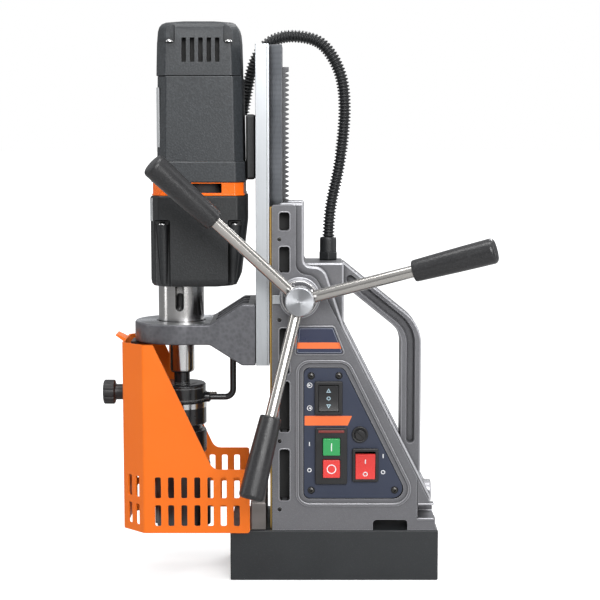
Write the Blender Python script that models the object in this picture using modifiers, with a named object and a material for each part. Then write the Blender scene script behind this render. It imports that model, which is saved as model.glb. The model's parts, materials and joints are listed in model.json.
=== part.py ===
"""Magnetic drill press: an electromagnet foot, a cast frame with a dovetail slide,
a motor with a two-stage gearbox, an annular cutter behind an orange guard, and a
three-arm feed wheel.

All lengths below are millimetres; MM turns them into Blender's metres.
+Z is up, +X points from the cutter towards the carry handle, -Y is the control side.
The origin is the middle of the magnet's underside.
"""
import math

import bmesh
import bpy
from mathutils import Matrix, Vector

MM = 0.001
GAP = 0.3                     # space kept between neighbouring pieces
BIG = 400.0                   # reach of a cutter that passes right through
SHARP = math.radians(32)      # faces that meet at less than this are shaded as one round surface

# Magnet foot
MAGNET_LENGTH = 204.0
MAGNET_WIDTH = 101.0
MAGNET_HEIGHT = 50.0
COIL_GROOVE_DEPTH = 32.0
COIL_FLOOR = 12.0             # height of the coil's lower face

# Frame casting
FRAME_HALF_WIDTH = 49.5
FRAME_BOTTOM = MAGNET_HEIGHT + GAP
FRAME_TOP = 369.0
COLUMN_FACE_X = -60.6
COLUMN_BACK_X = -37.8
SLOPE_TOP = (-17.5, 302.0)
SLOPE_BOTTOM = (97.3, 75.3)
RIDGE_BACK_X = -30.7          # the two inner ridges stand behind the column
RIDGE_BAND = (22.0, 34.0)     # and run in these bands of |Y|
SHOULDER_HALF_WIDTH = 29.0
SHOULDER_TOP = 311.8
HANDLE_HALF_WIDTH = 16.0

# Dovetail slide
PLATE_FRONT_X = -76.4
PLATE_BACK_X = -63.3
PLATE_HALF_WIDTH = 45.0
SLIDE_BOTTOM = 212.6
SLIDE_TOP = 522.4
DOVETAIL_INNER_X = -51.0
DOVETAIL_NECK = 24.0          # half width where it leaves the plate
DOVETAIL_FLARE = math.tan(math.radians(30))
DOVETAIL_CLEARANCE = 0.4

# Rack, pinion and feed arms
FEED_MODULE = 1.5
FEED_TEETH = 16
FEED_ADDENDUM = 1.4
FEED_AXIS_X = -34.0
FEED_AXIS_Z = 279.5
RACK_PITCH_X = FEED_AXIS_X - FEED_MODULE * FEED_TEETH / 2
RACK_BACK_X = -50.7
RACK_HALF_WIDTH = 7.5
RACK_BOTTOM = 222.0
RACK_TOP = 501.8
SHAFT_RADIUS = 8.0
HUB_RADIUS = 13.8
HUB_FRONT_Y = -88.0
HUB_BACK_Y = -58.5
ARM_ROOT_Y = -75.0
ARM_RADIUS = 5.75
ARM_TILT = math.radians(14)
ARM_ANGLES = (15.9, 135.9, 255.9)
GRIP_START = 110.5            # distances from the hub's axis, seen from the front
GRIP_END = 187.5

# Motor, gearbox and spindle
MOTOR_X = -131.0
SPINDLE_X = -152.0
FIRST_MODULE = 1.0
FIRST_TEETH = (10, 30)
SECOND_MODULE = 1.25
SECOND_TEETH = (12, 32)
GEAR_PRESSURE = math.radians(25)
GEARBOX_BOTTOM = 289.2
BAFFLE_BOTTOM = 377.7
COLLAR_BOTTOM = 390.5
MOTOR_BOTTOM = 410.8
CAP_BOTTOM = 492.0
CAP_TOP = 545.0
ARM_RING_RADIUS = 46.0
ARM_RING_LOW = 232.7
ARM_RING_HIGH = 252.2
NECK_RADIUS = 22.5

# Guard
GUARD_LEFT_X = -208.0
GUARD_RIGHT_X = -82.6
GUARD_HALF_WIDTH = 54.0
GUARD_CHAMFER = 22.0
GUARD_BOTTOM = 48.4
GUARD_TOP = 233.8
GUARD_REAR_SHIFT = -4.0       # the rear panel's edge, slope and slots against the front panel's
SHEET = 1.8
KNOB_Z = 179.4

# Control side
FACE_Y = -FRAME_HALF_WIDTH
PANEL_FRONT_Y = -48.6
PANEL_THICKNESS = 2.4
PANEL_CORNERS = ((-29.9, 82.0), (73.0, 82.0), (8.9, 211.0), (-29.9, 211.0))
PANEL_RADII = (6.0, 10.0, 7.0, 6.0)
PANEL_SCREWS = ((-22.7, 203.2), (4.2, 203.4), (-22.6, 90.0), (59.0, 90.2))
BAY_INSET = 11.0              # ledge that carries the panel
BAY_SLOPE_SHIFT = 7.0         # the ledge is narrower along the sloping side
BEZEL_FRONT_Y = -52.0
BEZEL_BACK_Y = PANEL_FRONT_Y - GAP

FINISHES = {                  # colour, roughness, metallic
    "cast": ((0.105, 0.102, 0.112), 0.42, 0.6),
    "charcoal": ((0.045, 0.048, 0.052), 0.5, 0.0),
    "magnet": ((0.043, 0.046, 0.050), 0.55, 0.0),
    "orange": ((1.0, 0.165, 0.018), 0.35, 0.0),
    "aluminium": ((0.62, 0.64, 0.68), 0.35, 1.0),
    "steel": ((0.55, 0.53, 0.50), 0.28, 1.0),
    "dark_steel": ((0.09, 0.09, 0.09), 0.4, 0.9),
    "brass": ((0.60, 0.38, 0.12), 0.35, 1.0),
    "copper": ((0.72, 0.30, 0.16), 0.4, 1.0),
    "rubber": ((0.02, 0.02, 0.022), 0.6, 0.0),
    "plastic": ((0.012, 0.012, 0.013), 0.4, 0.0),
    "navy": ((0.04, 0.05, 0.085), 0.45, 0.0),
    "green": ((0.03, 0.36, 0.10), 0.35, 0.0),
    "red": ((0.70, 0.03, 0.03), 0.35, 0.0),
    "board": ((0.02, 0.20, 0.07), 0.5, 0.0),
    "glass": ((0.80, 0.85, 0.85), 0.1, 0.0),
    "resin": ((0.30, 0.10, 0.03), 0.4, 0.0),
}


# ---------------------------------------------------------------- scene set-up

def clear_scene():
    for old in list(bpy.data.objects):
        bpy.data.objects.remove(old, do_unlink=True)


def make_collection(name):
    group = bpy.data.collections.new(name)
    bpy.context.scene.collection.children.link(group)
    return group


clear_scene()
PARTS = make_collection("magnetic_drill_press")
CUTTERS = make_collection("cutters")


# ---------------------------------------------------------------- outlines

def arc(centre, radius, start, end, steps):
    """Points on an arc, angles in degrees."""
    points = []
    for k in range(steps + 1):
        angle = math.radians(start + (end - start) * k / steps)
        points.append((centre[0] + radius * math.cos(angle), centre[1] + radius * math.sin(angle)))
    return points


def circle(centre, radius, count=24):
    return arc(centre, radius, 0.0, 360.0, count)[:-1]


def rectangle(low, high):
    return [(low[0], low[1]), (high[0], low[1]), (high[0], high[1]), (low[0], high[1])]


def slot(start, end, radius, steps=4):
    """A racetrack outline around the line from start to end."""
    heading = math.degrees(math.atan2(end[1] - start[1], end[0] - start[0]))
    return (arc(start, radius, heading + 90, heading + 270, steps)
            + arc(end, radius, heading - 90, heading + 90, steps))


def rounded(corners, radii, steps=3):
    """The outline through the corners, each one rounded by its own radius."""
    points = []
    for index, corner in enumerate(corners):
        radius = radii[index] if isinstance(radii, (list, tuple)) else radii
        here = Vector(corner)
        if radius <= 0:
            points.append(tuple(here))
            continue
        before = (Vector(corners[index - 1]) - here).normalized()
        after = (Vector(corners[(index + 1) % len(corners)]) - here).normalized()
        half = before.angle(after) / 2
        centre = here + (before + after).normalized() * radius / math.sin(half)
        first = here + before * radius / math.tan(half) - centre
        last = here + after * radius / math.tan(half) - centre
        start = math.atan2(first.y, first.x)
        sweep = (math.atan2(last.y, last.x) - start + math.pi) % (2 * math.pi) - math.pi
        for k in range(steps + 1):
            angle = start + sweep * k / steps
            points.append((centre.x + radius * math.cos(angle), centre.y + radius * math.sin(angle)))
    return points


def inset(corners, distance):
    """The anticlockwise outline's corners after moving every side inwards."""
    moved = []
    for index, corner in enumerate(corners):
        here = Vector(corner)
        before = (here - Vector(corners[index - 1])).normalized()
        after = (Vector(corners[(index + 1) % len(corners)]) - here).normalized()
        inward = Vector((-before.y, before.x)) + Vector((-after.y, after.x))
        moved.append(tuple(here + inward * distance / (1 + before.dot(after))))
    return moved


def involute(angle):
    return math.tan(angle) - angle


def gear_loop(module, teeth, centre, tooth_angle, addendum, dedendum, pressure, backlash=0.12):
    """A gear's outline with one tooth centred on tooth_angle (radians)."""
    pitch = module * teeth / 2
    base = pitch * math.cos(pressure)
    tip = pitch + addendum
    root = pitch - dedendum
    half_pitch = math.pi / (2 * teeth) - backlash / (2 * pitch)
    radii = [tip, pitch, root]

    def half_angle(radius):
        roll = math.acos(min(1.0, base / max(radius, base)))
        return half_pitch + involute(pressure) - involute(roll)

    points = []
    for k in range(teeth):
        middle = tooth_angle + 2 * math.pi * k / teeth
        flank = [(r, half_angle(r)) for r in radii]
        for radius, half in reversed(flank):
            points.append((radius, middle - half))
        for radius, half in flank:
            points.append((radius, middle + half))
    return [(centre[0] + r * math.cos(a), centre[1] + r * math.sin(a)) for r, a in points]


# ---------------------------------------------------------------- solids

def finish(item, look):
    colour, roughness, metallic = FINISHES[look]
    surface = bpy.data.materials.new(item.name + "_finish")
    surface.use_nodes = True
    shader = surface.node_tree.nodes["Principled BSDF"]
    shader.inputs["Base Color"].default_value = (*colour, 1.0)
    shader.inputs["Roughness"].default_value = roughness
    shader.inputs["Metallic"].default_value = metallic
    item.data.materials.clear()
    item.data.materials.append(surface)


def add_mesh(name, mesh, look, origin):
    """Puts a mesh, drawn in world place, into an object whose origin is given in mm."""
    mesh.shade_smooth()
    mesh.set_sharp_from_angle(angle=SHARP)
    place = Vector(origin) * MM
    mesh.transform(Matrix.Translation(-place))
    item = bpy.data.objects.new(name, mesh)
    item.location = place
    PARTS.objects.link(item)
    if look:
        finish(item, look)
    return item


def from_bmesh(name, shape, look, origin):
    mesh = bpy.data.meshes.new(name)
    shape.to_mesh(mesh)
    shape.free()
    return add_mesh(name, mesh, look, origin)


def block(name, low, high, look=None, origin=(0, 0, 0)):
    size = Vector(high) - Vector(low)
    middle = (Vector(high) + Vector(low)) / 2
    shape = bmesh.new()
    matrix = Matrix.Translation(middle * MM) @ Matrix.Diagonal((*(size * MM), 1.0))
    bmesh.ops.create_cube(shape, size=1.0, matrix=matrix)
    return from_bmesh(name, shape, look, origin)


def rod(name, start, end, radius, look=None, sides=20, origin=(0, 0, 0)):
    line = Vector(end) - Vector(start)
    middle = (Vector(start) + Vector(end)) / 2
    turn = line.to_track_quat("Z", "Y").to_matrix().to_4x4()
    shape = bmesh.new()
    bmesh.ops.create_cone(
        shape, cap_ends=True, segments=sides, radius1=radius * MM, radius2=radius * MM,
        depth=line.length * MM, matrix=Matrix.Translation(middle * MM) @ turn)
    return from_bmesh(name, shape, look, origin)


PLANES = {                    # local x, y and extrusion axis of an outline in each plane
    "XY": Matrix(((1, 0, 0), (0, 1, 0), (0, 0, 1))),
    "XZ": Matrix(((1, 0, 0), (0, 0, -1), (0, 1, 0))),
    "YZ": Matrix(((0, 0, 1), (1, 0, 0), (0, 1, 0))),
}


def curve_to_mesh(curve, matrix):
    """The closed mesh that a curve evaluates to, in world place."""
    holder = bpy.data.objects.new(curve.name, curve)
    holder.matrix_world = matrix
    CUTTERS.objects.link(holder)
    graph = bpy.context.evaluated_depsgraph_get()
    mesh = bpy.data.meshes.new_from_object(holder.evaluated_get(graph))
    shape = bmesh.new()
    shape.from_mesh(mesh)
    bmesh.ops.remove_doubles(shape, verts=shape.verts, dist=0.00002)
    bmesh.ops.recalc_face_normals(shape, faces=shape.faces)
    shape.to_mesh(mesh)
    shape.free()
    mesh.transform(holder.matrix_world)
    bpy.data.objects.remove(holder, do_unlink=True)
    return mesh


def outline(name, loops, plane, low, high, look=None, origin=(0, 0, 0)):
    """A flat outline, with any holes, given thickness from low to high."""
    curve = bpy.data.curves.new(name, "CURVE")
    curve.dimensions = "2D"
    curve.fill_mode = "BOTH"
    curve.extrude = (high - low) / 2 * MM
    for loop in loops:
        spline = curve.splines.new("POLY")
        spline.points.add(len(loop) - 1)
        for point, (x, y) in zip(spline.points, loop):
            point.co = (x * MM, y * MM, 0.0, 1.0)
        spline.use_cyclic_u = True
    turn = PLANES[plane]
    along = Vector((turn[0][2], turn[1][2], turn[2][2]))
    level = (low + high) / 2 * (along.x + along.y + along.z)
    matrix = Matrix.Translation(along * level * MM) @ turn.to_4x4()
    return add_mesh(name, curve_to_mesh(curve, matrix), look, origin)


def turned(name, profile, foot, axis, look=None, sides=24, ring=False):
    """A turned piece; the profile is (radius, height) down its outer side."""
    mesh = bpy.data.meshes.new(name)
    edges = [(i, i + 1) for i in range(len(profile) - 1)]
    if ring:
        edges.append((len(profile) - 1, 0))
    mesh.from_pydata([(r * MM, 0.0, h * MM) for r, h in profile], edges, [])
    item = bpy.data.objects.new(name, mesh)
    item.location = Vector(foot) * MM
    item.rotation_mode = "QUATERNION"
    item.rotation_quaternion = Vector(axis).to_track_quat("Z", "Y")
    PARTS.objects.link(item)
    spin = item.modifiers.new("turned", "SCREW")
    spin.axis = "Z"
    spin.angle = 2 * math.pi
    spin.steps = sides
    spin.render_steps = sides
    spin.use_merge_vertices = True
    spin.merge_threshold = 0.00005
    if look:
        finish(item, look)
    return item


def tube_along(name, points, radius, look, resolution=2):
    """A round rod that follows the points."""
    curve = bpy.data.curves.new(name, "CURVE")
    curve.dimensions = "3D"
    curve.bevel_depth = radius * MM
    curve.bevel_resolution = resolution
    curve.use_fill_caps = True
    spline = curve.splines.new("POLY")
    spline.points.add(len(points) - 1)
    for point, where in zip(spline.points, points):
        point.co = (*(Vector(where) * MM), 1.0)
    return add_mesh(name, curve_to_mesh(curve, Matrix.Identity(4)), look, (0, 0, 0))


# ---------------------------------------------------------------- modifiers

def boolean(item, tool, operation):
    tool.hide_render = True
    tool.display_type = "WIRE"
    PARTS.objects.unlink(tool)
    CUTTERS.objects.link(tool)
    step = item.modifiers.new(tool.name, "BOOLEAN")
    step.operation = operation
    step.solver = "EXACT"
    step.object = tool


def cut(item, *tools):
    for tool in tools:
        boolean(item, tool, "DIFFERENCE")


def join(item, *tools):
    for tool in tools:
        boolean(item, tool, "UNION")


def common(item, tool):
    boolean(item, tool, "INTERSECT")


def soften(item, width, segments=1, degrees=40.0):
    edge = item.modifiers.new("soft edges", "BEVEL")
    edge.width = width * MM
    edge.segments = segments
    edge.limit_method = "ANGLE"
    edge.angle_limit = math.radians(degrees)


def hang_on(name, origin, items):
    """Parents the items to an empty that sits on their joint's axis."""
    pivot = bpy.data.objects.new(name, None)
    pivot.location = Vector(origin) * MM
    PARTS.objects.link(pivot)
    bpy.context.view_layer.update()
    for item in items:
        item.parent = pivot
        item.matrix_parent_inverse = pivot.matrix_world.inverted()


# ---------------------------------------------------------------- magnet foot

def coil_race(outer_inset, inner_inset):
    """The two loops of the ring-shaped groove, moved in by a clearance."""
    outer = rounded(rectangle((-88 + outer_inset, -37 + outer_inset),
                              (88 - outer_inset, 37 - outer_inset)), 14.0)
    inner = rounded(rectangle((-62 - inner_inset, -13 - inner_inset),
                              (62 + inner_inset, 13 + inner_inset)), 4.0)
    return [outer, inner]


def make_magnet():
    half_x = MAGNET_LENGTH / 2
    half_y = MAGNET_WIDTH / 2
    core = block("magnet_core", (-half_x, -half_y, 0), (half_x, half_y, MAGNET_HEIGHT), "magnet")
    soften(core, 0.8)
    cut(core, outline("coil_groove", coil_race(0, 0), "XY", -1, COIL_GROOVE_DEPTH))
    outline("magnet_coil", coil_race(GAP, GAP), "XY", COIL_FLOOR, COIL_GROOVE_DEPTH - GAP, "copper")
    outline("magnet_resin", coil_race(GAP, GAP), "XY", GAP, COIL_FLOOR - GAP, "resin")


# ---------------------------------------------------------------- frame casting

FRAME_CORNERS = (
    (COLUMN_FACE_X, FRAME_BOTTOM), (101.0, FRAME_BOTTOM), (98.9, 54.0), (98.9, 67.0),
    SLOPE_BOTTOM, SLOPE_TOP, (COLUMN_BACK_X, 302.5), (COLUMN_BACK_X, FRAME_TOP),
    (COLUMN_FACE_X, FRAME_TOP))
FRAME_RADII = (0, 0, 0, 0, 0, 14, 11, 3, 3)
RIDGE_CORNERS = (
    (-54.0, 53.0), (96.0, 53.0), (96.0, 66.0), (95.2, 80.0), (9.6, 250.0), (-11.0, 309.0),
    (RIDGE_BACK_X, 309.5), (RIDGE_BACK_X, 367.0), (-54.0, 367.0))
RIDGE_RADII = (0, 0, 0, 0, 0, 14, 6, 3, 0)
HANDLE_OUTER = ((-8.0, 311.2), (9.6, 311.2), (86.6, 248.6), (86.6, 80.0))
HANDLE_INNER = ((66.2, 110.0), (66.2, 242.3), (-8.0, 302.7))
HANDLE_RADII = (0, 0, 40, 0, 0, 26, 0)
POCKETS = ((344.6, 362.0), (304.0, 329.0), (205.0, 250.0), (148.0, 198.0), (80.0, 131.0))


def make_column_channel(frame):
    """The female dovetail and the deeper channel behind it for the rack."""
    spare = DOVETAIL_CLEARANCE
    inner = DOVETAIL_INNER_X + spare
    narrow = DOVETAIL_NECK + (COLUMN_FACE_X - 1 - PLATE_BACK_X) * DOVETAIL_FLARE + spare
    wide = DOVETAIL_NECK + (inner - PLATE_BACK_X) * DOVETAIL_FLARE + spare
    dovetail = [(COLUMN_FACE_X - 1, -narrow), (inner, -wide), (inner, wide), (COLUMN_FACE_X - 1, narrow)]
    cut(frame, outline("dovetail_groove", [dovetail], "XY", 62.0, BIG))
    cut(frame, block("rack_channel", (COLUMN_FACE_X - 1, -10, 62), (-43.6, 10, BIG)))
    cut(frame, rod("pinion_pocket", (FEED_AXIS_X, -11, FEED_AXIS_Z), (FEED_AXIS_X, 11, FEED_AXIS_Z), 15.5))
    cut(frame, rod("bush_bore", (FEED_AXIS_X, -BIG, FEED_AXIS_Z), (FEED_AXIS_X, BIG, FEED_AXIS_Z), 12.3))


def make_pockets(frame):
    for low, high in POCKETS:
        shape = rounded(rectangle((-54.0, low), (-43.3, high)), 2.5, 1)
        for side in (-1, 1):
            ends = sorted((side * 38.5, side * (FRAME_HALF_WIDTH + 1)))
            cut(frame, outline(f"pocket_{low:.0f}_{side}", [shape], "XZ", *ends))


def make_handle(frame):
    shape = rounded(HANDLE_OUTER + HANDLE_INNER, HANDLE_RADII, 5)
    handle = outline("carry_handle", [shape], "XZ", -HANDLE_HALF_WIDTH, HANDLE_HALF_WIDTH)
    join(frame, handle)


def make_electronics_bay(frame):
    recess = rounded(inset(PANEL_CORNERS, -0.5), PANEL_RADII)
    low_left, low_right, high_right, high_left = inset(PANEL_CORNERS, BAY_INSET)
    wider = [(x + BAY_SLOPE_SHIFT, z) for x, z in (low_right, high_right)]
    bay = rounded([low_left, *wider, high_left], 3.0, 2)
    cut(frame, outline("panel_recess", [recess], "XZ", FACE_Y - 1, PANEL_FRONT_Y + PANEL_THICKNESS + GAP))
    cut(frame, outline("electronics_bay", [bay], "XZ", FACE_Y - 1, 38.0))
    cut(frame, block("switch_bay", (-18.2, FACE_Y - 1, 160.0), (6.8, -15.0, 197.0)))
    for index, (x, z) in enumerate(PANEL_SCREWS):
        cut(frame, rod(f"screw_hole_{index}", (x, FACE_Y, z), (x, -34, z), 1.9, sides=12))


def make_frame():
    frame = outline("frame_casting", [rounded(FRAME_CORNERS, FRAME_RADII)], "XZ",
                    -FRAME_HALF_WIDTH, FRAME_HALF_WIDTH, "cast")
    soften(frame, 1.6, degrees=50.0)
    for side in (-1, 1):
        band = sorted(side * y for y in RIDGE_BAND)
        ridge = rounded(RIDGE_CORNERS, RIDGE_RADII)
        join(frame, outline(f"ridge_{side}", [ridge], "XZ", *band))
    shoulder = block("shoulder", (-34, -SHOULDER_HALF_WIDTH, 150),
                     (9.3, SHOULDER_HALF_WIDTH, SHOULDER_TOP))
    soften(shoulder, 2.0)
    join(frame, shoulder)
    join(frame, rod("rear_boss", (75, 0, 78.4), (98.2, 0, 78.4), 11.8, sides=22))
    make_handle(frame)
    for side in (-1, 1):
        near = side * FRAME_HALF_WIDTH
        far = side * (FRAME_HALF_WIDTH + 3.6)
        join(frame, rod(f"hub_boss_{side}", (FEED_AXIS_X, near - side * 5, FEED_AXIS_Z),
                        (FEED_AXIS_X, far, FEED_AXIS_Z), 20.0, sides=32))
        notch = sorted((side * 20.0, side * BIG))
        cut(frame, block(f"strap_slot_{side}", (81.6, notch[0], 62.6), (BIG, notch[1], 75.3)))
    make_column_channel(frame)
    make_pockets(frame)
    make_electronics_bay(frame)
    notch = rounded(rectangle((37.8, 40.0), (71.8, 60.6)), 3.5, 2)
    cut(frame, outline("bottom_notch", [notch], "XZ", -BIG, BIG))
    return frame


def make_wear_strips():
    for name, side in (("wear_strip_front", -1), ("wear_strip_rear", 1)):
        across = sorted((side * 28.5, side * PLATE_HALF_WIDTH))
        block(name, (-62.9, across[0], FRAME_BOTTOM), (-60.9, across[1], 367.0), "brass")


def make_stop_block():
    stop = block("stop_block", (-82.0, -50.0, FRAME_BOTTOM), (-66.7, 50.0, 78.0), "steel")
    soften(stop, 1.2)


# ---------------------------------------------------------------- control side

def make_panel():
    loops = [rounded(PANEL_CORNERS, PANEL_RADII),
             rectangle((-17.7, 167.0), (6.1, 196.2)),
             rectangle((-16.4, 98.8), (10.1, 150.2)),
             rectangle((19.0, 100.5), (41.3, 130.3)),
             circle((24.9, 145.6), 6.5, 16)]
    loops += [circle(at, 2.1, 12) for at in PANEL_SCREWS]
    outline("control_panel", loops, "XZ", PANEL_FRONT_Y, PANEL_FRONT_Y + PANEL_THICKNESS, "navy")
    for index, (x, z) in enumerate(PANEL_SCREWS):
        front = PANEL_FRONT_Y - GAP
        profile = ((0, 2.2), (2.4, 2.2), (3.6, 0.9), (3.6, 0), (1.6, 0), (1.6, -13), (0, -13))
        turned(f"panel_screw_{index + 1}", profile, (x, front, z), (0, -1, 0), "dark_steel", 12)
    plate = [(-37.0, 225.5), (8.3, 225.5), (-1.5, 250.6), (-34.6, 250.6)]
    outline("nameplate", [rounded(plate, 1.5, 2)], "XZ", FACE_Y - GAP - 0.9, FACE_Y - GAP, "navy")


def switch_housing(name, bezel, body, opening, opening_back):
    """A switch body with a bezel in front of the panel and an opening for its rocker."""
    (x0, z0), (x1, z1) = bezel
    housing = block(name, (x0, BEZEL_FRONT_Y, z0), (x1, BEZEL_BACK_Y, z1), "plastic")
    (x0, z0), (x1, z1) = body
    join(housing, block(name + "_body", (x0, BEZEL_BACK_Y - 1, z0), (x1, -22.0, z1)))
    for index, ((x0, z0), (x1, z1)) in enumerate(opening):
        cut(housing, block(f"{name}_opening_{index}", (x0, BEZEL_FRONT_Y - 5, z0), (x1, opening_back, z1)))


def rocker(name, x0, x1, middle, half, tilt, look):
    """A see-saw switch key with a shallow V front, tilted about its pivot."""
    pivot_y = -47.5
    profile = [(-53.4, -half), (-51.9, 0), (-53.4, half), (-49.0, half - 0.3), (-44.5, half - 4),
               (-44.5, -half + 4), (-49.0, -half + 0.3)]
    key = outline(name, [[(y - pivot_y, z) for y, z in profile]], "YZ", x0, x1, look)
    key.data.transform(Matrix.Rotation(math.radians(tilt), 4, "X"))
    key.location = Vector((0, pivot_y, middle)) * MM


def make_switches():
    switch_housing("direction_switch_housing", ((-19.4, 165.0), (7.8, 198.2)),
                   ((-17.2, 167.5), (5.6, 195.7)), [((-15.8, 168.2), (4.2, 195.0))], -39.0)
    rocker("direction_rocker", -15.4, 3.8, 181.6, 12.6, 0.0, "plastic")
    switch_housing("motor_switch_housing", ((-18.8, 96.4), (12.5, 152.6)),
                   ((-15.9, 99.3), (9.6, 149.7)),
                   [((-11.7, 125.1), (5.8, 142.7)), ((-11.7, 103.0), (5.8, 121.5))], -40.0)
    for name, low, high, look in (("start_button", 125.6, 142.2, "green"),
                                  ("stop_button", 103.5, 121.0, "red")):
        key = block(name, (-11.2, -54.6, low), (5.3, -45.0, high), look, (-3, -50, (low + high) / 2))
        soften(key, 0.6)
    switch_housing("magnet_switch_housing", ((17.3, 98.8), (43.0, 132.0)),
                   ((19.5, 101.0), (40.8, 129.8)), [((20.2, 101.7), (40.1, 129.1))], -39.0)
    rocker("magnet_rocker", 20.6, 39.7, 115.4, 12.6, 7.0, "red")


def make_fuse():
    at = (24.9, 0.0, 145.6)
    holder = ((8.0, -51.5), (8.0, -48.9), (6.1, -48.9), (6.1, -20.0), (3.7, -20.0), (3.7, -51.5))
    profile = [(r, -y) for r, y in holder]
    turned("fuse_holder", profile, at, (0, -1, 0), "plastic", 16, ring=True)
    cap = [(0, 54.4), (4.9, 54.4), (5.3, 54.0), (5.3, 51.8), (3.3, 51.8), (3.3, 47.0), (0, 47.0)]
    cap_item = turned("fuse_cap", cap, at, (0, -1, 0), "plastic", 16)
    cut(cap_item, block("coin_slot", (20.9, -60.0, 145.0), (28.9, -53.4, 146.2)))
    rod("fuse", (24.9, -46.7, 145.6), (24.9, -26.0, 145.6), 2.6, "glass", 16)


def make_circuit_board():
    board = block("circuit_board", (-15.0, 10.0, 97.0), (12.0, 11.8, 170.0), "board")
    join(board, block("rectifier", (-10, -4, 102), (8, 10.6, 118)))
    join(board, rod("capacitor", (0, -12, 132), (0, 10.6, 132), 9.0, sides=16))
    join(board, block("relay", (-9, -6, 145), (5, 10.6, 166)))


# ---------------------------------------------------------------- feed

def make_rack():
    """A toothed bar; one tooth gap faces the pinion's axis and the rest follow by the pitch."""
    pitch = math.pi * FEED_MODULE
    lean = math.tan(math.radians(20))
    dedendum = 1.25 * FEED_MODULE
    tip_x = RACK_PITCH_X + FEED_ADDENDUM
    bar = block("rack", (RACK_BACK_X, -RACK_HALF_WIDTH, RACK_BOTTOM), (tip_x, RACK_HALF_WIDTH, RACK_TOP),
                "dark_steel")
    half = pitch / 4 + 0.06
    below = math.floor((FEED_AXIS_Z - RACK_BOTTOM - half) / pitch)
    lowest = FEED_AXIS_Z - below * pitch
    root_half = half - dedendum * lean
    mouth_half = half + (FEED_ADDENDUM + 1) * lean
    gap_shape = [(RACK_PITCH_X - dedendum, lowest - root_half), (tip_x + 1, lowest - mouth_half),
                 (tip_x + 1, lowest + mouth_half), (RACK_PITCH_X - dedendum, lowest + root_half)]
    gap = outline("rack_gaps", [gap_shape], "XZ", -20, 20)
    repeat = gap.modifiers.new("repeat", "ARRAY")
    repeat.count = math.floor((RACK_TOP - half - lowest) / pitch) + 1
    repeat.use_relative_offset = False
    repeat.use_constant_offset = True
    repeat.constant_offset_displace = (0, 0, pitch * MM)
    cut(bar, gap)


def make_pinion_shaft():
    axis = (FEED_AXIS_X, 0.0, FEED_AXIS_Z)
    profile = ((0, 70), (SHAFT_RADIUS, 70), (SHAFT_RADIUS, -48), (0, -48))
    shaft = turned("pinion_shaft", profile, axis, (0, -1, 0), "steel")
    teeth = gear_loop(FEED_MODULE, FEED_TEETH, (axis[0], axis[2]), math.pi, FEED_ADDENDUM,
                      1.25 * FEED_MODULE, math.radians(20))
    join(shaft, outline("pinion_teeth", [teeth], "XZ", -8.0, 8.0))
    return shaft


def make_bushes():
    axis = (FEED_AXIS_X, 0.0, FEED_AXIS_Z)
    bore = SHAFT_RADIUS + 0.15
    front = ((16.9, 57.4), (16.9, 53.5), (12.0, 53.5), (12.0, 12.5), (bore, 12.5), (bore, 57.4))
    rear = ((0, 57.4), (15.9, 57.4), (16.9, 56.4), (16.9, 53.5), (12.0, 53.5), (12.0, 12.5),
            (bore, 12.5), (bore, 52.0), (0, 52.0))
    turned("pinion_bush_front", front, axis, (0, -1, 0), "steel", ring=True)
    turned("pinion_bush_rear", rear, axis, (0, 1, 0), "steel")


def arm_frame(degrees):
    """Root point and direction of a feed arm."""
    angle = math.radians(degrees)
    outwards = Vector((math.cos(angle), 0, math.sin(angle)))
    direction = outwards * math.cos(ARM_TILT) + Vector((0, -math.sin(ARM_TILT), 0))
    root = Vector((FEED_AXIS_X, ARM_ROOT_Y, FEED_AXIS_Z)) + outwards * HUB_RADIUS
    return root, direction


def make_grip(name, start, direction, length):
    """A moulded grip that swells outwards and ends in a dome, blind-bored for its arm."""
    profile = [(12.0 * math.cos(math.radians(a)), length - 4.0 + 4.0 * math.sin(math.radians(a)))
               for a in (90, 60, 30, 0)]
    profile += [(10.4, 1.2), (9.2, 0), (ARM_RADIUS + 0.2, 0), (ARM_RADIUS + 0.2, length - 20),
                (0, length - 20)]
    turned(name, profile, start, direction, "rubber", 16)


def make_feed():
    rim = HUB_RADIUS - 0.8
    profile = ((0, -HUB_FRONT_Y), (rim, -HUB_FRONT_Y), (HUB_RADIUS, -HUB_FRONT_Y - 0.8),
               (HUB_RADIUS, -HUB_BACK_Y), (0, -HUB_BACK_Y))
    hub = turned("feed_hub", profile, (FEED_AXIS_X, 0, FEED_AXIS_Z), (0, -1, 0), "steel")
    cut(hub, rod("shaft_socket", (FEED_AXIS_X, -71, FEED_AXIS_Z), (FEED_AXIS_X, 0, FEED_AXIS_Z),
                 SHAFT_RADIUS + 0.2, sides=32))
    items = [make_pinion_shaft(), hub]
    slant = math.cos(ARM_TILT)
    for index, degrees in enumerate(ARM_ANGLES, start=1):
        root, direction = arm_frame(degrees)
        reach = (GRIP_START - HUB_RADIUS) / slant
        length = (GRIP_END - GRIP_START) / slant
        cut(hub, rod(f"arm_socket_{index}", root - direction * 4.5, root + direction * 8,
                     ARM_RADIUS + 0.2, sides=16))
        arm = rod(f"feed_arm_{index}", root - direction * 4.0, root + direction * (reach + length - 21),
                  ARM_RADIUS, "steel", 12)
        make_grip(f"feed_grip_{index}", root + direction * reach, direction, length)
        items += [arm, bpy.data.objects[f"feed_grip_{index}"]]
    hang_on("feed_axis", (FEED_AXIS_X, 0, FEED_AXIS_Z), items)


# ---------------------------------------------------------------- slide

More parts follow.
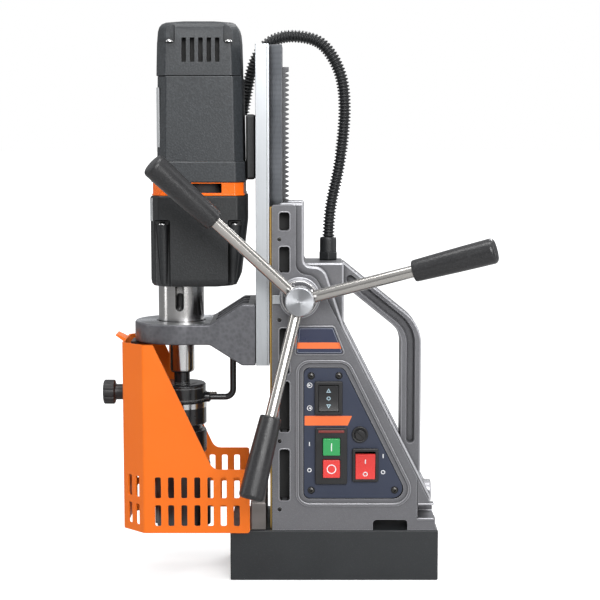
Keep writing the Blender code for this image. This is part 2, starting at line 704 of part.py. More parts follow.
def make_slide_plate():
    inner = DOVETAIL_NECK + (DOVETAIL_INNER_X - PLATE_BACK_X) * DOVETAIL_FLARE
    shape = [(PLATE_FRONT_X, -PLATE_HALF_WIDTH), (PLATE_BACK_X, -PLATE_HALF_WIDTH),
             (PLATE_BACK_X, -DOVETAIL_NECK), (DOVETAIL_INNER_X, -inner),
             (DOVETAIL_INNER_X, inner), (PLATE_BACK_X, DOVETAIL_NECK),
             (PLATE_BACK_X, PLATE_HALF_WIDTH), (PLATE_FRONT_X, PLATE_HALF_WIDTH)]
    outline("slide_plate", [shape], "XY", SLIDE_BOTTOM, SLIDE_TOP, "aluminium")


def make_spindle_arm():
    right = PLATE_FRONT_X - GAP
    plan = arc((SPINDLE_X, 0), ARM_RING_RADIUS, 78, 282, 20) + [(right, -45), (right, 45)]
    arm = outline("spindle_arm", [plan], "XY", 200.0, 280.0, "cast")
    side = rounded([(-210, ARM_RING_LOW), (-121.5, ARM_RING_LOW), (-90, SLIDE_BOTTOM),
                    (right + 5, SLIDE_BOTTOM), (right + 5, 272.5), (-90, 272.5),
                    (-121.5, ARM_RING_HIGH), (-210, ARM_RING_HIGH)], (0, 6, 4, 0, 0, 4, 6, 0))
    common(arm, outline("arm_side", [side], "XZ", -60, 60))
    soften(arm, 1.2, degrees=50.0)
    cut(arm, rod("neck_bore", (SPINDLE_X, 0, 200), (SPINDLE_X, 0, 290), NECK_RADIUS + GAP, sides=48))
    channel = [(-114.7, 251.4), (-91.3, 266.1), (-83.7, 266.1), (-83.7, 291.0), (-114.7, 291.0)]
    for near, far in ((-33.0, -13.0), (-9.0, 9.0), (13.0, 33.0)):
        cut(arm, outline(f"web_channel_{near:.0f}", [channel], "XZ", near, far))
    cut(arm, rod("rod_socket", (-100.7, 0, 200), (-100.7, 0, 231), 3.4, sides=16))


def chamfered(half_x, half_y, corner):
    return [(-half_x + corner, -half_y), (half_x - corner, -half_y), (half_x, -half_y + corner),
            (half_x, half_y - corner), (half_x - corner, half_y), (-half_x + corner, half_y),
            (-half_x, half_y - corner), (-half_x, -half_y + corner)]


def shifted(points, x):
    return [(px + x, py) for px, py in points]


def taper_top(item, level, middle_x, factor):
    """Draws the vertices above a level in towards the vertical line through middle_x."""
    for vertex in item.data.vertices:
        if vertex.co.z > level * MM:
            vertex.co.x = middle_x * MM + (vertex.co.x - middle_x * MM) * factor
            vertex.co.y *= factor


def make_gearbox():
    shell = outline("gearbox_housing", [shifted(chamfered(46.1, 45.0, 8.0), -132.1)], "XY",
                    GEARBOX_BOTTOM, BAFFLE_BOTTOM - GAP, "charcoal")
    soften(shell, 5.0, 2, degrees=60.0)
    cut(shell, outline("gearbox_hollow", [shifted(chamfered(42.6, 41.5, 7.0), -132.1)], "XY", 294.0, BIG))
    cut(shell, rod("spindle_hole", (SPINDLE_X, 0, 280), (SPINDLE_X, 0, 300), 15.8, sides=32))
    tube = ((NECK_RADIUS, GEARBOX_BOTTOM - GAP), (NECK_RADIUS, 233.6), (16.2, 233.6),
            (16.2, GEARBOX_BOTTOM - GAP))
    neck = turned("gearbox_neck", tube, (SPINDLE_X, 0, 0), (0, 0, 1), "steel", 48, ring=True)
    keyway = slot((SPINDLE_X, 267.2), (SPINDLE_X, 300.0), 4.2)
    cut(neck, outline("drift_slot", [keyway], "XZ", -40, 40))


def make_baffle():
    loops = [shifted(chamfered(44.0, 43.0, 8.0), MOTOR_X - 1),
             shifted(chamfered(40.5, 39.5, 7.0), MOTOR_X - 1)]
    baffle = outline("baffle_ring", loops, "XY", BAFFLE_BOTTOM, COLLAR_BOTTOM - GAP, "orange")
    for left, right in ((-160.5, -143.5), (-139.0, -109.0)):
        cut(baffle, block(f"air_{left:.0f}", (left, -BIG, 380.2), (right, BIG, 388.6)))
    for y in (-24.0, 4.0):
        cut(baffle, block(f"side_air_{y:.0f}", (-BIG, y, 380.2), (0, y + 20.0, 388.6)))
    collar = [shifted(chamfered(45.6, 44.5, 9.0), MOTOR_X - 1), circle((MOTOR_X, 0), 38.5, 32)]
    outline("motor_collar", collar, "XY", COLLAR_BOTTOM, MOTOR_BOTTOM - GAP, "charcoal")


def make_motor():
    plan = shifted(chamfered(41.7, 43.0, 8.0), MOTOR_X + 1.1)
    shell = outline("motor_housing", [plan], "XY", MOTOR_BOTTOM, CAP_BOTTOM - GAP, "charcoal")
    taper_top(shell, 450, MOTOR_X, 0.955)
    cut(shell, rod("motor_bore", (MOTOR_X, 0, 400), (MOTOR_X, 0, 500), 38.2, sides=32))
    stator = [circle((MOTOR_X, 0), 37.8, 32), circle((MOTOR_X, 0), 27.0, 24)]
    outline("stator", stator, "XY", 413.0, 462.0, "dark_steel")
    plan = shifted(chamfered(40.8, 41.0, 9.5), MOTOR_X)
    cap = outline("motor_cap", [plan], "XY", CAP_BOTTOM, CAP_TOP, "charcoal")
    taper_top(cap, 520, MOTOR_X, 0.955)
    soften(cap, 2.5, 1, degrees=60.0)
    cut(cap, outline("cap_hollow", [shifted(chamfered(36.0, 36.0, 8.0), MOTOR_X)], "XY", 480.0, 540.0))
    for k in range(5):
        x = -144.6 + 8.0 * k
        cut(cap, block(f"vent_{k}", (x - 2.2, -BIG, 505.2), (x + 2.2, BIG, 528.3)))
    bracket = block("motor_bracket", (-86.0, -30.0, 392.7), (PLATE_FRONT_X - GAP, 61.0, 455.7), "charcoal")
    soften(bracket, 1.5)


def make_rotor():
    """The armature with its fan and the pinion cut on the end of its shaft."""
    tooth = math.atan2(COUNTER_AT[1], COUNTER_AT[0] - MOTOR_X)
    profile = ((0, 486), (4, 486), (4, 480), (13, 480), (13, 466), (6, 466), (6, 461), (26.2, 461),
               (26.2, 415), (6, 415), (6, 392), (4.6, 392), (4.6, 340), (0, 340))
    rotor = turned("armature", profile, (MOTOR_X, 0, 0), (0, 0, 1), "copper", 24)
    pinion = gear_loop(FIRST_MODULE, FIRST_TEETH[0], (MOTOR_X, 0), tooth, 0.8, 1.1, GEAR_PRESSURE)
    join(rotor, outline("armature_pinion", [pinion], "XY", 326.0, 342.0))
    blades = []
    for k in range(12):
        turn = 30.0 * k
        blades += arc((MOTOR_X, 0), 12.0, turn, turn + 12.0, 1)
        blades += arc((MOTOR_X, 0), 35.0, turn + 16.0, turn + 20.0, 1)
    join(rotor, outline("fan_blades", [blades], "XY", 395.0, 402.0))


def counter_position():
    """Countershaft axis: one centre distance from each of the other two shafts."""
    near = FIRST_MODULE * sum(FIRST_TEETH) / 2
    far = SECOND_MODULE * sum(SECOND_TEETH) / 2
    span = MOTOR_X - SPINDLE_X
    along = (far ** 2 - near ** 2 + span ** 2) / (2 * span)
    return (SPINDLE_X + along, math.sqrt(far ** 2 - along ** 2))


COUNTER_AT = counter_position()


def make_countershaft():
    to_motor = math.atan2(-COUNTER_AT[1], MOTOR_X - COUNTER_AT[0])
    to_spindle = math.atan2(-COUNTER_AT[1], SPINDLE_X - COUNTER_AT[0])
    shaft = turned("countershaft", ((0, 350), (4.5, 350), (4.5, 296.5), (0, 296.5)),
                   (*COUNTER_AT, 0), (0, 0, 1), "steel", 20)
    gap_phase = to_motor + math.pi / FIRST_TEETH[1]
    wheel = gear_loop(FIRST_MODULE, FIRST_TEETH[1], COUNTER_AT, gap_phase, 0.8, 1.1, GEAR_PRESSURE)
    join(shaft, outline("counter_wheel", [wheel], "XY", 328.0, 340.0))
    pinion = gear_loop(SECOND_MODULE, SECOND_TEETH[0], COUNTER_AT, to_spindle, 1.0, 1.4, GEAR_PRESSURE)
    join(shaft, outline("counter_pinion", [pinion], "XY", 299.0, 316.0))
    far_phase = math.atan2(COUNTER_AT[1], COUNTER_AT[0] - SPINDLE_X) + math.pi / SECOND_TEETH[1]
    gear = gear_loop(SECOND_MODULE, SECOND_TEETH[1], (SPINDLE_X, 0), far_phase, 1.0, 1.4, GEAR_PRESSURE)
    outline("spindle_gear", [gear, circle((SPINDLE_X, 0), 10.4, 24)], "XY", 301.0, 314.0, "steel")


# ---------------------------------------------------------------- spindle and cutter

def make_spindle():
    axis = (SPINDLE_X, 0, 0)
    spindle = ((0, 320), (10.0, 320), (10.0, 296), (15.6, 296), (15.6, 233.2), (12.5, 233.2), (12.5, 202),
               (11.3, 200.5), (8.3, 200.5), (8.3, 284), (0, 284))
    turned("spindle", spindle, axis, (0, 0, 1), "steel")
    arbor = ((0, 281), (7.0, 281), (8.0, 279), (8.0, 189.4), (14.5, 189.4), (14.5, 170.4), (24.4, 170.4),
             (24.4, 149.0), (22.9, 147.5), (20.0, 147.5), (20.0, 116.0), (9.8, 116.0), (9.8, 147.0),
             (3.5, 147.0), (3.5, 176.0), (0, 176.0))
    turned("arbor", arbor, axis, (0, 0, 1), "dark_steel")
    collar = ((23.7, 141.8), (24.5, 141.0), (24.5, 120.4), (23.7, 119.6), (20.3, 119.6), (20.3, 141.8))
    turned("release_collar", collar, axis, (0, 0, 1), "dark_steel", ring=True)
    cutter = ((9.5, 145.0), (9.5, 115.4), (22.0, 115.4), (28.0, 107.0), (28.0, 45.5), (23.5, 45.5),
              (23.5, 100.0), (3.5, 100.0), (3.5, 145.0))
    bit = turned("cutter", cutter, axis, (0, 0, 1), "steel", ring=True)
    for k in range(6):
        angle = math.radians(60 * k)
        middle = Vector((SPINDLE_X + 26 * math.cos(angle), 26 * math.sin(angle), 46))
        lean = Vector((-0.45 * math.sin(angle), 0.45 * math.cos(angle), 1)) * 12
        cut(bit, rod(f"gullet_{k}", middle - lean, middle + lean, 3.2, sides=8))
    turned("pilot_pin", ((0, 150), (3.1, 150), (3.1, 47.0), (0, 43.5)), axis, (0, 0, 1), "steel", 12)


def make_coolant_feed():
    ring = ((22.8, 189.0), (23.8, 171.0), (14.9, 171.0), (14.9, 189.0))
    turned("coolant_ring", ring, (SPINDLE_X, 0, 0), (0, 0, 1), "plastic", ring=True)
    bend = arc((-108.7, 182.3), 8.0, 0, -90, 5)
    path = [(-100.7, 0, 229.0)] + [(x, 0, z) for x, z in bend] + [(-127.6, 0, 174.3)]
    tube_along("coolant_rod", path, 3.15, "plastic")


# ---------------------------------------------------------------- guard

def guard_plan(offset):
    """Half of the guard's plan outline, moved in by the offset, front to rear."""
    half = GUARD_HALF_WIDTH - offset
    left = GUARD_LEFT_X + offset
    right = GUARD_RIGHT_X + 1
    run = GUARD_CHAMFER - offset * (2 - math.sqrt(2))
    return [(right, -half), (left + run, -half), (left, -half + run),
            (left, half - run), (left + run, half), (right, half)]


def guard_side(shift):
    """Side outline of one guard panel, with its edge and slope moved by the shift."""
    right = GUARD_RIGHT_X + shift
    return rounded([(-230.0, GUARD_BOTTOM), (right, GUARD_BOTTOM), (right, 111.4), (-118.5 + shift, 111.4),
                    (-175.9 + shift, GUARD_TOP), (-230.0, GUARD_TOP)], (0, 3, 3, 9, 0, 0))


def make_guard():
    loop = guard_plan(0) + list(reversed(guard_plan(SHEET)))
    guard = outline("guard", [loop], "XY", GUARD_BOTTOM - 1, GUARD_TOP + 1, "orange")
    sides = outline("guard_sides", [guard_side(0.0)], "XZ", -70, 5)
    join(sides, outline("guard_rear_side", [guard_side(GUARD_REAR_SHIFT)], "XZ", 4, 70))
    common(guard, sides)
    for side, shift in ((-1, 0.0), (1, GUARD_REAR_SHIFT)):
        near, far = sorted((40 * side, 70 * side))
        for k in range(7):
            x = -172.2 + shift + 12.8 * k
            for z in (55.3, 83.0):
                cut(guard, block(f"slot_{side}_{k}_{z:.0f}", (x - 2.95, near, z), (x + 2.95, far, z + 21.0)))
        for k, step in enumerate((-5.6, 5.6)):
            middle = Vector((GUARD_LEFT_X, side * GUARD_HALF_WIDTH, 0))
            middle += Vector((1, -side, 0)) * GUARD_CHAMFER / 2
            along = Vector((1, side, 0)).normalized()
            centre = middle + along * step
            for z in (55.3, 83.0):
                tool = block(f"corner_slot_{side}_{k}_{z:.0f}", (-8, -2.95, -10.5), (8, 2.95, 10.5))
                tool.rotation_euler = (0, 0, math.radians(-45 * side))
                tool.location = (centre + Vector((0, 0, z + 10.5))) * MM
                cut(guard, tool)
    cut(guard, block("stud_slot", (GUARD_LEFT_X - 5, -4.0, 64.0), (GUARD_LEFT_X + 5, 4.0, KNOB_Z + 4.5)))
    lip = [(GUARD_LEFT_X, GUARD_TOP - 2.5), (GUARD_LEFT_X + SHEET, GUARD_TOP - 2.5),
           (GUARD_LEFT_X + SHEET, GUARD_TOP), (-216.0, 239.4), (-216.9, 237.9)]
    join(guard, outline("guard_lip", [lip], "XZ", -11.0, 11.0))


def make_guard_fixing():
    """A bracket under the arm's nose that carries the clamp stud, and the knob on the stud."""
    bracket = block("guard_bracket", (-201.3, -14, 166), (-198.4, 14, ARM_RING_LOW - GAP), "dark_steel")
    join(bracket, block("bracket_foot", (-201.3, -14, ARM_RING_LOW - 3.0), (-178.0, 14, ARM_RING_LOW - GAP)))
    join(bracket, rod("spacer", (-206.0, 0, KNOB_Z), (-201.0, 0, KNOB_Z), 8.0))
    cut(bracket, rod("stud_hole", (-210, 0, KNOB_Z), (-190, 0, KNOB_Z), 3.2, sides=16))
    profile = ((0, 230.4), (10.0, 230.4), (12.2, 229.0), (12.2, 218.8), (7.8, 217.5), (7.8, 208.4),
               (2.9, 208.4), (2.9, 199.0), (0, 199.0))
    turned("guard_knob", profile, (0, 0, KNOB_Z), (-1, 0, 0), "rubber", 24)


# ---------------------------------------------------------------- conduit

CONDUIT_PATH = (
    (-5.5, 10, 336), (-1.8, 12, 371), (6.3, 15, 411), (10.8, 20, 457.6), (8.2, 25, 490.4),
    (-1.9, 30, 514.7), (-16.7, 35, 529.6), (-40.6, 42, 534.8), (-58.9, 48, 531.7), (-71.5, 52, 522.6),
    (-79.0, 53, 511.0), (-84.0, 53, 496.0), (-88.0, 53, 478.0), (-92.0, 53, 456.2))


def smooth_path(points, steps):
    """A Catmull-Rom curve through the points."""
    places = [Vector(p) for p in points]
    places = [places[0] * 2 - places[1]] + places + [places[-1] * 2 - places[-2]]
    path = []
    for a, b, c, d in zip(places, places[1:], places[2:], places[3:]):
        for k in range(steps):
            t = k / steps
            path.append(0.5 * (2 * b + (c - a) * t + (2 * a - 5 * b + 4 * c - d) * t ** 2
                               + (3 * b - a - 3 * c + d) * t ** 3))
    return path + [places[-2]]


def make_conduit():
    tube_along("conduit", smooth_path(CONDUIT_PATH, 2), 6.25, "rubber")
    foot = SHOULDER_TOP + GAP
    gland = ((0, 334.6), (8.0, 334.6), (8.0, 319.0), (9.6, 319.0), (9.6, foot), (0, foot))
    turned("conduit_gland", gland, (-5.5, 10, 0), (0, 0, 1), "plastic", 20)


# ---------------------------------------------------------------- build

make_magnet()
make_frame()
make_wear_strips()
make_stop_block()
make_panel()
make_switches()
make_fuse()
make_circuit_board()
make_bushes()
make_feed()
make_slide_plate()
make_rack()
make_spindle_arm()
make_gearbox()
make_baffle()
make_motor()
make_rotor()
make_countershaft()
make_spindle()
make_coolant_feed()
make_guard()
make_guard_fixing()
make_conduit()
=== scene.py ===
"""Looks for the magnetic drill press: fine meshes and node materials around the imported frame.

Lengths are millimetres in the object's own frame; MM turns them into Blender's metres.
+Z is up, +X points to the carry handle and -Y is the control side.
"""
import json
import math

import bmesh
import bpy
from mathutils import Matrix, Vector, noise
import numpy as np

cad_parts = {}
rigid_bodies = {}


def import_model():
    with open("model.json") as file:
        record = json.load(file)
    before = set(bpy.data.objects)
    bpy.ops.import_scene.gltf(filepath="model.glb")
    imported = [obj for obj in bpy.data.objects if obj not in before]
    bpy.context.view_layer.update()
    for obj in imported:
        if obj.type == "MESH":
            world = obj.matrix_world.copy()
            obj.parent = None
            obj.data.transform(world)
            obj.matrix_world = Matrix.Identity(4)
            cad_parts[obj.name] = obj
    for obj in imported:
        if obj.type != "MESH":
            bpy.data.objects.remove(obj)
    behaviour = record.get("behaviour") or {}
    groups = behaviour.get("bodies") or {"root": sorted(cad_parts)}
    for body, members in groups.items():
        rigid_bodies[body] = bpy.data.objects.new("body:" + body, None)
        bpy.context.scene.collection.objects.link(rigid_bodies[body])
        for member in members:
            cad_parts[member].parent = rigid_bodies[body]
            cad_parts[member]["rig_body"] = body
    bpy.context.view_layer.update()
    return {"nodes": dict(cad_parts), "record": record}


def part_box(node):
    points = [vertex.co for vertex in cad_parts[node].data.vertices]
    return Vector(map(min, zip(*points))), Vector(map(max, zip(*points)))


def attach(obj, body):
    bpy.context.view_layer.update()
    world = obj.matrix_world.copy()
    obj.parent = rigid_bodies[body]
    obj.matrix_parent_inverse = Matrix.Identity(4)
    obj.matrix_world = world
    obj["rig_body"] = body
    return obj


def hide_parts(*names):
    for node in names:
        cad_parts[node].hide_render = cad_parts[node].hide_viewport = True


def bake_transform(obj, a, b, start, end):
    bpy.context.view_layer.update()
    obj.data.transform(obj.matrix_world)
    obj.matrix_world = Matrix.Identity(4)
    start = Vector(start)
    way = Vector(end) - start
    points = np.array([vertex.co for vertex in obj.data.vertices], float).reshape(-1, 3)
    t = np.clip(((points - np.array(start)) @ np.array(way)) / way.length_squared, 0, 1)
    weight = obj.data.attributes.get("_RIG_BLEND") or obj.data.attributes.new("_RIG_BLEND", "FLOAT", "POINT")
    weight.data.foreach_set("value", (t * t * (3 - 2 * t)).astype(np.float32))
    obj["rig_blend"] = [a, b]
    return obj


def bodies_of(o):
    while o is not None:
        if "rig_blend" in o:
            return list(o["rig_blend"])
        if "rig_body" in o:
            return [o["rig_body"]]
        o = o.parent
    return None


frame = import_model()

MM = 0.001
FAR = 400.0                   # reach of a cutter that passes right through
ORIGIN = (0, 0, 0)
UP = (0, 0, 1)
FORWARDS = (0, -1, 0)         # towards the control side
BACKWARDS = (0, 1, 0)


def extent(node):
    """A CAD node's lowest and highest corners in millimetres."""
    low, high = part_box(node)
    return Vector(low) / MM, Vector(high) / MM


def body_of(node):
    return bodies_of(frame["nodes"][node])[0]


NECK_LOW, NECK_HIGH = extent("gearbox_neck")
GEARBOX_LOW, GEARBOX_HIGH = extent("gearbox_housing")
MOTOR_LOW, MOTOR_HIGH = extent("motor_housing")
GUARD_LOW, GUARD_HIGH = extent("guard")
HUB_LOW, HUB_HIGH = extent("feed_hub")
SPINDLE_X = (NECK_LOW.x + NECK_HIGH.x) / 2
SPINDLE_FOOT = (SPINDLE_X, 0, 0)
MOTOR_X = (MOTOR_LOW.x + MOTOR_HIGH.x) / 2
FEED_X = (HUB_LOW.x + HUB_HIGH.x) / 2
FEED_Z = (HUB_LOW.z + HUB_HIGH.z) / 2
FEED_CENTRE = (FEED_X, 0, FEED_Z)


# ---------------------------------------------------------------- materials

class Graph:
    """A node tree with short ways to add nodes and to wire them."""

    def __init__(self, owner):
        owner.use_nodes = True
        self.nodes = owner.node_tree.nodes
        self.links = owner.node_tree.links

    def set(self, node, values):
        for key, value in values.items():
            if isinstance(value, bpy.types.NodeSocket):
                self.links.new(value, node.inputs[key])
            else:
                node.inputs[key].default_value = value

    def add(self, kind, output, values=None, **settings):
        """Adds a node and returns one of its outputs, or the node itself for None."""
        node = self.nodes.new("ShaderNode" + kind)
        for key, value in settings.items():
            setattr(node, key, value)
        self.set(node, values or {})
        return node if output is None else node.outputs[output]

    def maths(self, operation, *values):
        return self.add("Math", 0, dict(enumerate(values)), operation=operation)

    def ramp(self, value, low, high, low_out=0.0, high_out=1.0, **settings):
        return self.add("MapRange", "Result", {"Value": value, "From Min": low, "From Max": high,
                                               "To Min": low_out, "To Max": high_out}, **settings)


class Surface(Graph):
    """A material around one Principled shader, in object coordinates (metres)."""

    def __init__(self, name, colour, roughness, metallic=0.0, coat=0.0):
        self.material = bpy.data.materials.new(name)
        super().__init__(self.material)
        self.shader = self.nodes["Principled BSDF"]
        self.colour = (*colour, 1.0)
        self.set(self.shader, {"Base Color": self.colour, "Roughness": roughness, "Metallic": metallic,
                               "Coat Weight": coat, "Coat Roughness": 0.15})
        self.place = self.add("TexCoord", "Object")
        self.normal = None

    def stretched(self, scale):
        return self.add("Mapping", "Vector", {"Vector": self.place, "Scale": scale})

    def noise(self, scale, detail=3.0, vector=None):
        return self.add("TexNoise", "Fac", {"Vector": vector or self.place, "Scale": scale, "Detail": detail})

    def edges(self, radius):
        """1 on edges rounder than the radius (mm), 0 on flat stretches; the mask for painted highlights along
        edges.
        """
        bevel = self.add("Bevel", "Normal", {"Radius": radius * MM}, samples=4)
        flat = self.add("NewGeometry", "Normal")
        dot = self.add("VectorMath", "Value", {0: bevel, 1: flat}, operation="DOT_PRODUCT")
        return self.ramp(dot, 0.99, 0.86)

    def crevices(self, reach):
        """0 in the open and up to 1 deep in corners that are narrower than the reach (mm); the mask for
        painted shade.
        """
        return self.ramp(self.add("AmbientOcclusion", "AO", {"Distance": reach * MM}, samples=8), 0.92, 0.35)

    def rounds(self):
        """1 on rounded edges between the front or back faces and the sides, 0 elsewhere."""
        normal = self.add("NewGeometry", "Normal")
        tilt = self.maths("ABSOLUTE", self.add("SeparateXYZ", "Y", {"Vector": normal}))
        return self.maths("MULTIPLY", self.ramp(tilt, 0.3, 0.65), self.ramp(tilt, 0.985, 0.93))

    def tint(self, amount, colour):
        """Lays a colour over the base by the amount."""
        source = self.shader.inputs["Base Color"]
        below = source.links[0].from_socket if source.links else self.colour
        over = self.add("Mix", 2, {0: amount, 6: below, 7: (*colour, 1.0)}, data_type="RGBA")
        self.set(self.shader, {"Base Color": over})

    def cover(self, amount, strength, colour, low=0.0):
        """Lays a colour over the base, up to the strength where the amount is 1."""
        self.tint(self.ramp(amount, low, 1.0, 0.0, strength), colour)

    def patches(self, scale, low, high, strength, colour, detail=3.0):
        """Lays a colour over the base in soft patches."""
        self.tint(self.ramp(self.noise(scale, detail), low, high, 0.0, strength), colour)

    def rough(self, value, low, high):
        self.set(self.shader, {"Roughness": self.ramp(value, 0.3, 0.7, low, high)})

    def bump(self, height, strength, distance):
        values = {"Height": height, "Strength": strength, "Distance": distance * MM}
        if self.normal:
            values["Normal"] = self.normal
        self.normal = self.add("Bump", "Normal", values)
        self.set(self.shader, {"Normal": self.normal})


def shade(colour, factor, lift=0.0):
    """A lighter or darker tone of a colour."""
    return tuple(min(1.0, c * factor + lift) for c in colour)


def grey(level):
    return (level, level, level)


def cast_paint():
    """Metallic grey stove paint over a sand casting, with painted highlights along its edges and rounds and
    painted shade in its creases.
    """
    s = Surface("cast_paint", (0.150, 0.150, 0.160), 0.36, 0.4, 0.2)
    s.patches(1400.0, 0.5, 0.75, 0.45, (0.26, 0.26, 0.28), 2.0)
    s.patches(18.0, 0.4, 0.7, 0.3, (0.11, 0.11, 0.118))
    # painted highlights: lighter along edges and along the rounds beside the front and back faces
    s.cover(s.edges(1.1), 0.5, (0.5, 0.5, 0.53))
    s.cover(s.rounds(), 0.7, (0.60, 0.60, 0.63))
    # painted shade: near black in creases and corners, by ambient occlusion
    s.cover(s.crevices(7.0), 0.95, (0.008, 0.008, 0.010))
    s.rough(s.noise(60.0), 0.28, 0.42)
    s.bump(s.noise(420.0, 4.0), 0.2, 0.22)
    return s.material


def hammer_paint():
    """Hammered grey paint with its flowed dimples."""
    s = Surface("hammer_paint", (0.098, 0.099, 0.107), 0.36, 0.45, 0.2)
    dimples = s.add("TexVoronoi", "Distance", {"Vector": s.place, "Scale": 260.0})
    s.tint(s.ramp(dimples, 0.2, 0.75, 0.0, 0.5), (0.15, 0.15, 0.165))
    # painted highlight: lighter along edges
    s.tint(s.edges(0.7), (0.26, 0.26, 0.28))
    # painted shade: darker in creases and corners
    s.cover(s.crevices(6.0), 0.8, (0.012, 0.012, 0.014))
    s.rough(s.noise(90.0), 0.30, 0.44)
    s.bump(dimples, 0.35, 0.35)
    return s.material


def grain_plastic(name, colour, scale, roughness=0.44):
    """Glass-filled nylon with a spark-eroded grain."""
    s = Surface(name, colour, roughness)
    grain = s.noise(scale, 2.0)
    s.tint(s.ramp(grain, 0.45, 0.7, 0.0, 0.7), shade(colour, 2.0))
    # painted highlight: lighter along edges
    s.cover(s.edges(0.6), 0.3, (0.14, 0.14, 0.15))
    # painted shade: near black in creases and corners
    s.cover(s.crevices(6.0), 0.8, grey(0.004))
    s.rough(s.noise(35.0), roughness - 0.04, roughness + 0.1)
    s.bump(grain, 0.5, 0.3)
    return s.material


def gloss_black(name, colour, roughness):
    """Hard black finish with a painted highlight along its edges."""
    s = Surface(name, colour, roughness, 0.0, 0.3)
    s.patches(40.0, 0.4, 0.75, 0.4, shade(colour, 1.8))
    # painted highlight: lighter along edges
    s.cover(s.edges(0.6), 0.8, grey(0.30))
    s.rough(s.noise(120.0), roughness - 0.05, roughness + 0.08)
    s.bump(s.noise(700.0, 2.0), 0.05, 0.08)
    return s.material


def satin_plastic(name, colour, roughness=0.35):
    """Smooth moulded plastic, print or lacquer with a painted highlight along its edges."""
    s = Surface(name, colour, roughness)
    s.patches(25.0, 0.35, 0.75, 0.35, shade(colour, 0.75))
    # painted highlight: lighter along edges
    s.cover(s.edges(0.4), 0.3, shade(colour, 1.5, 0.03))
    s.rough(s.noise(70.0), roughness - 0.04, roughness + 0.08)
    s.bump(s.noise(1500.0, 2.0), 0.08, 0.1)
    return s.material


def powder_coat(name, colour, thin):
    """Powder coat with a fine orange peel and a painted highlight along its edges."""
    s = Surface(name, colour, 0.45)
    s.set(s.shader, {"Specular IOR Level": 0.3})
    s.patches(14.0, 0.35, 0.7, 0.35, thin)
    s.patches(900.0, 0.55, 0.8, 0.2, thin, 2.0)
    # painted highlight: lighter along edges
    s.cover(s.edges(0.5), 0.35, shade(colour, 1.25, 0.05))
    s.rough(s.noise(45.0), 0.38, 0.5)
    s.bump(s.noise(650.0, 2.0), 0.16, 0.18)
    return s.material


def brushed_metal(name, colour, roughness, grain, scratch=0.12, edge_highlight=(0.8, 0.8, 0.8)):
    """Metal with a grain drawn along one axis; grain scales each axis."""
    s = Surface(name, colour, roughness, 1.0)
    lines = s.noise(1.0, 4.0, s.stretched(grain))
    s.tint(s.ramp(lines, 0.35, 0.7, 0.0, 0.3), shade(colour, 0.8))
    s.patches(22.0, 0.45, 0.75, 0.15, shade(colour, 0.8))
    # painted highlight: edges take a lighter colour
    s.cover(s.edges(0.35), 0.5, edge_highlight)
    # painted shade: darker in creases and corners
    s.cover(s.crevices(8.0), 0.92, grey(0.01), 0.45)
    s.rough(lines, roughness - 0.05, roughness + 0.06)
    s.bump(lines, scratch * 0.4, 0.05)
    return s.material


def polished_bar(name, colour, roughness):
    """Drawn and polished round bar, almost even."""
    s = Surface(name, colour, roughness, 1.0)
    s.patches(40.0, 0.45, 0.75, 0.12, shade(colour, 0.8))
    # painted highlight: lighter along edges
    s.cover(s.edges(0.35), 0.4, (0.9, 0.88, 0.85))
    # painted shade: darker in creases and corners
    s.cover(s.crevices(8.0), 0.8, grey(0.01), 0.45)
    s.rough(s.noise(25.0), roughness - 0.01, roughness + 0.015)
    return s.material


def turned_face(name, colour, roughness):
    """A faced-off disc whose tool marks run round its own origin, so light fans out on it."""
    s = Surface(name, colour, roughness, 1.0)
    around = s.add("Tangent", "Tangent", direction_type="RADIAL", axis="Z")
    s.set(s.shader, {"Anisotropic": 0.85, "Tangent": around})
    parts = s.add("SeparateXYZ", None, {"Vector": s.place}).outputs
    squares = s.maths("ADD", s.maths("POWER", parts["X"], 2.0), s.maths("POWER", parts["Y"], 2.0))
    radius = s.maths("POWER", squares, 0.5)
    rings = s.noise(2600.0, 3.0, s.add("CombineXYZ", "Vector", {"X": radius, "Z": parts["Z"]}))
    s.tint(s.ramp(rings, 0.4, 0.7, 0.0, 0.25), shade(colour, 0.75))
    s.rough(rings, roughness - 0.05, roughness + 0.06)
    s.bump(rings, 0.08, 0.06)
    return s.material


def machined_block(name, colour, scale):
    """Shaped metal with faint level tool passes."""
    s = Surface(name, colour, 0.36, 1.0)
    wave = {"Vector": s.place, "Scale": scale, "Distortion": 0.6, "Detail": 2.0}
    passes = s.add("TexWave", "Fac", wave, bands_direction="Z")
    s.tint(s.ramp(passes, 0.3, 1.0, 0.0, 0.25), shade(colour, 0.6))
    s.patches(30.0, 0.45, 0.75, 0.4, shade(colour, 0.7))
    # painted highlight: lighter along edges
    s.cover(s.edges(0.5), 0.5, (0.7, 0.7, 0.72))
    s.rough(s.noise(80.0), 0.3, 0.45)
    s.bump(passes, 0.06, 0.1)
    return s.material


def magnet_paint():
    """Matt charcoal paint over a cast magnet body."""
    s = Surface("magnet_paint", (0.017, 0.019, 0.021), 0.5, 0.1, 0.0)
    s.patches(9.0, 0.35, 0.7, 0.5, (0.027, 0.030, 0.032))
    s.patches(1300.0, 0.55, 0.8, 0.4, (0.06, 0.06, 0.064), 2.0)
    # painted highlight: lighter along edges
    s.cover(s.edges(0.6), 0.35, (0.16, 0.16, 0.17))
    s.rough(s.noise(40.0), 0.42, 0.56)
    s.bump(s.noise(500.0, 3.0), 0.16, 0.2)
    return s.material


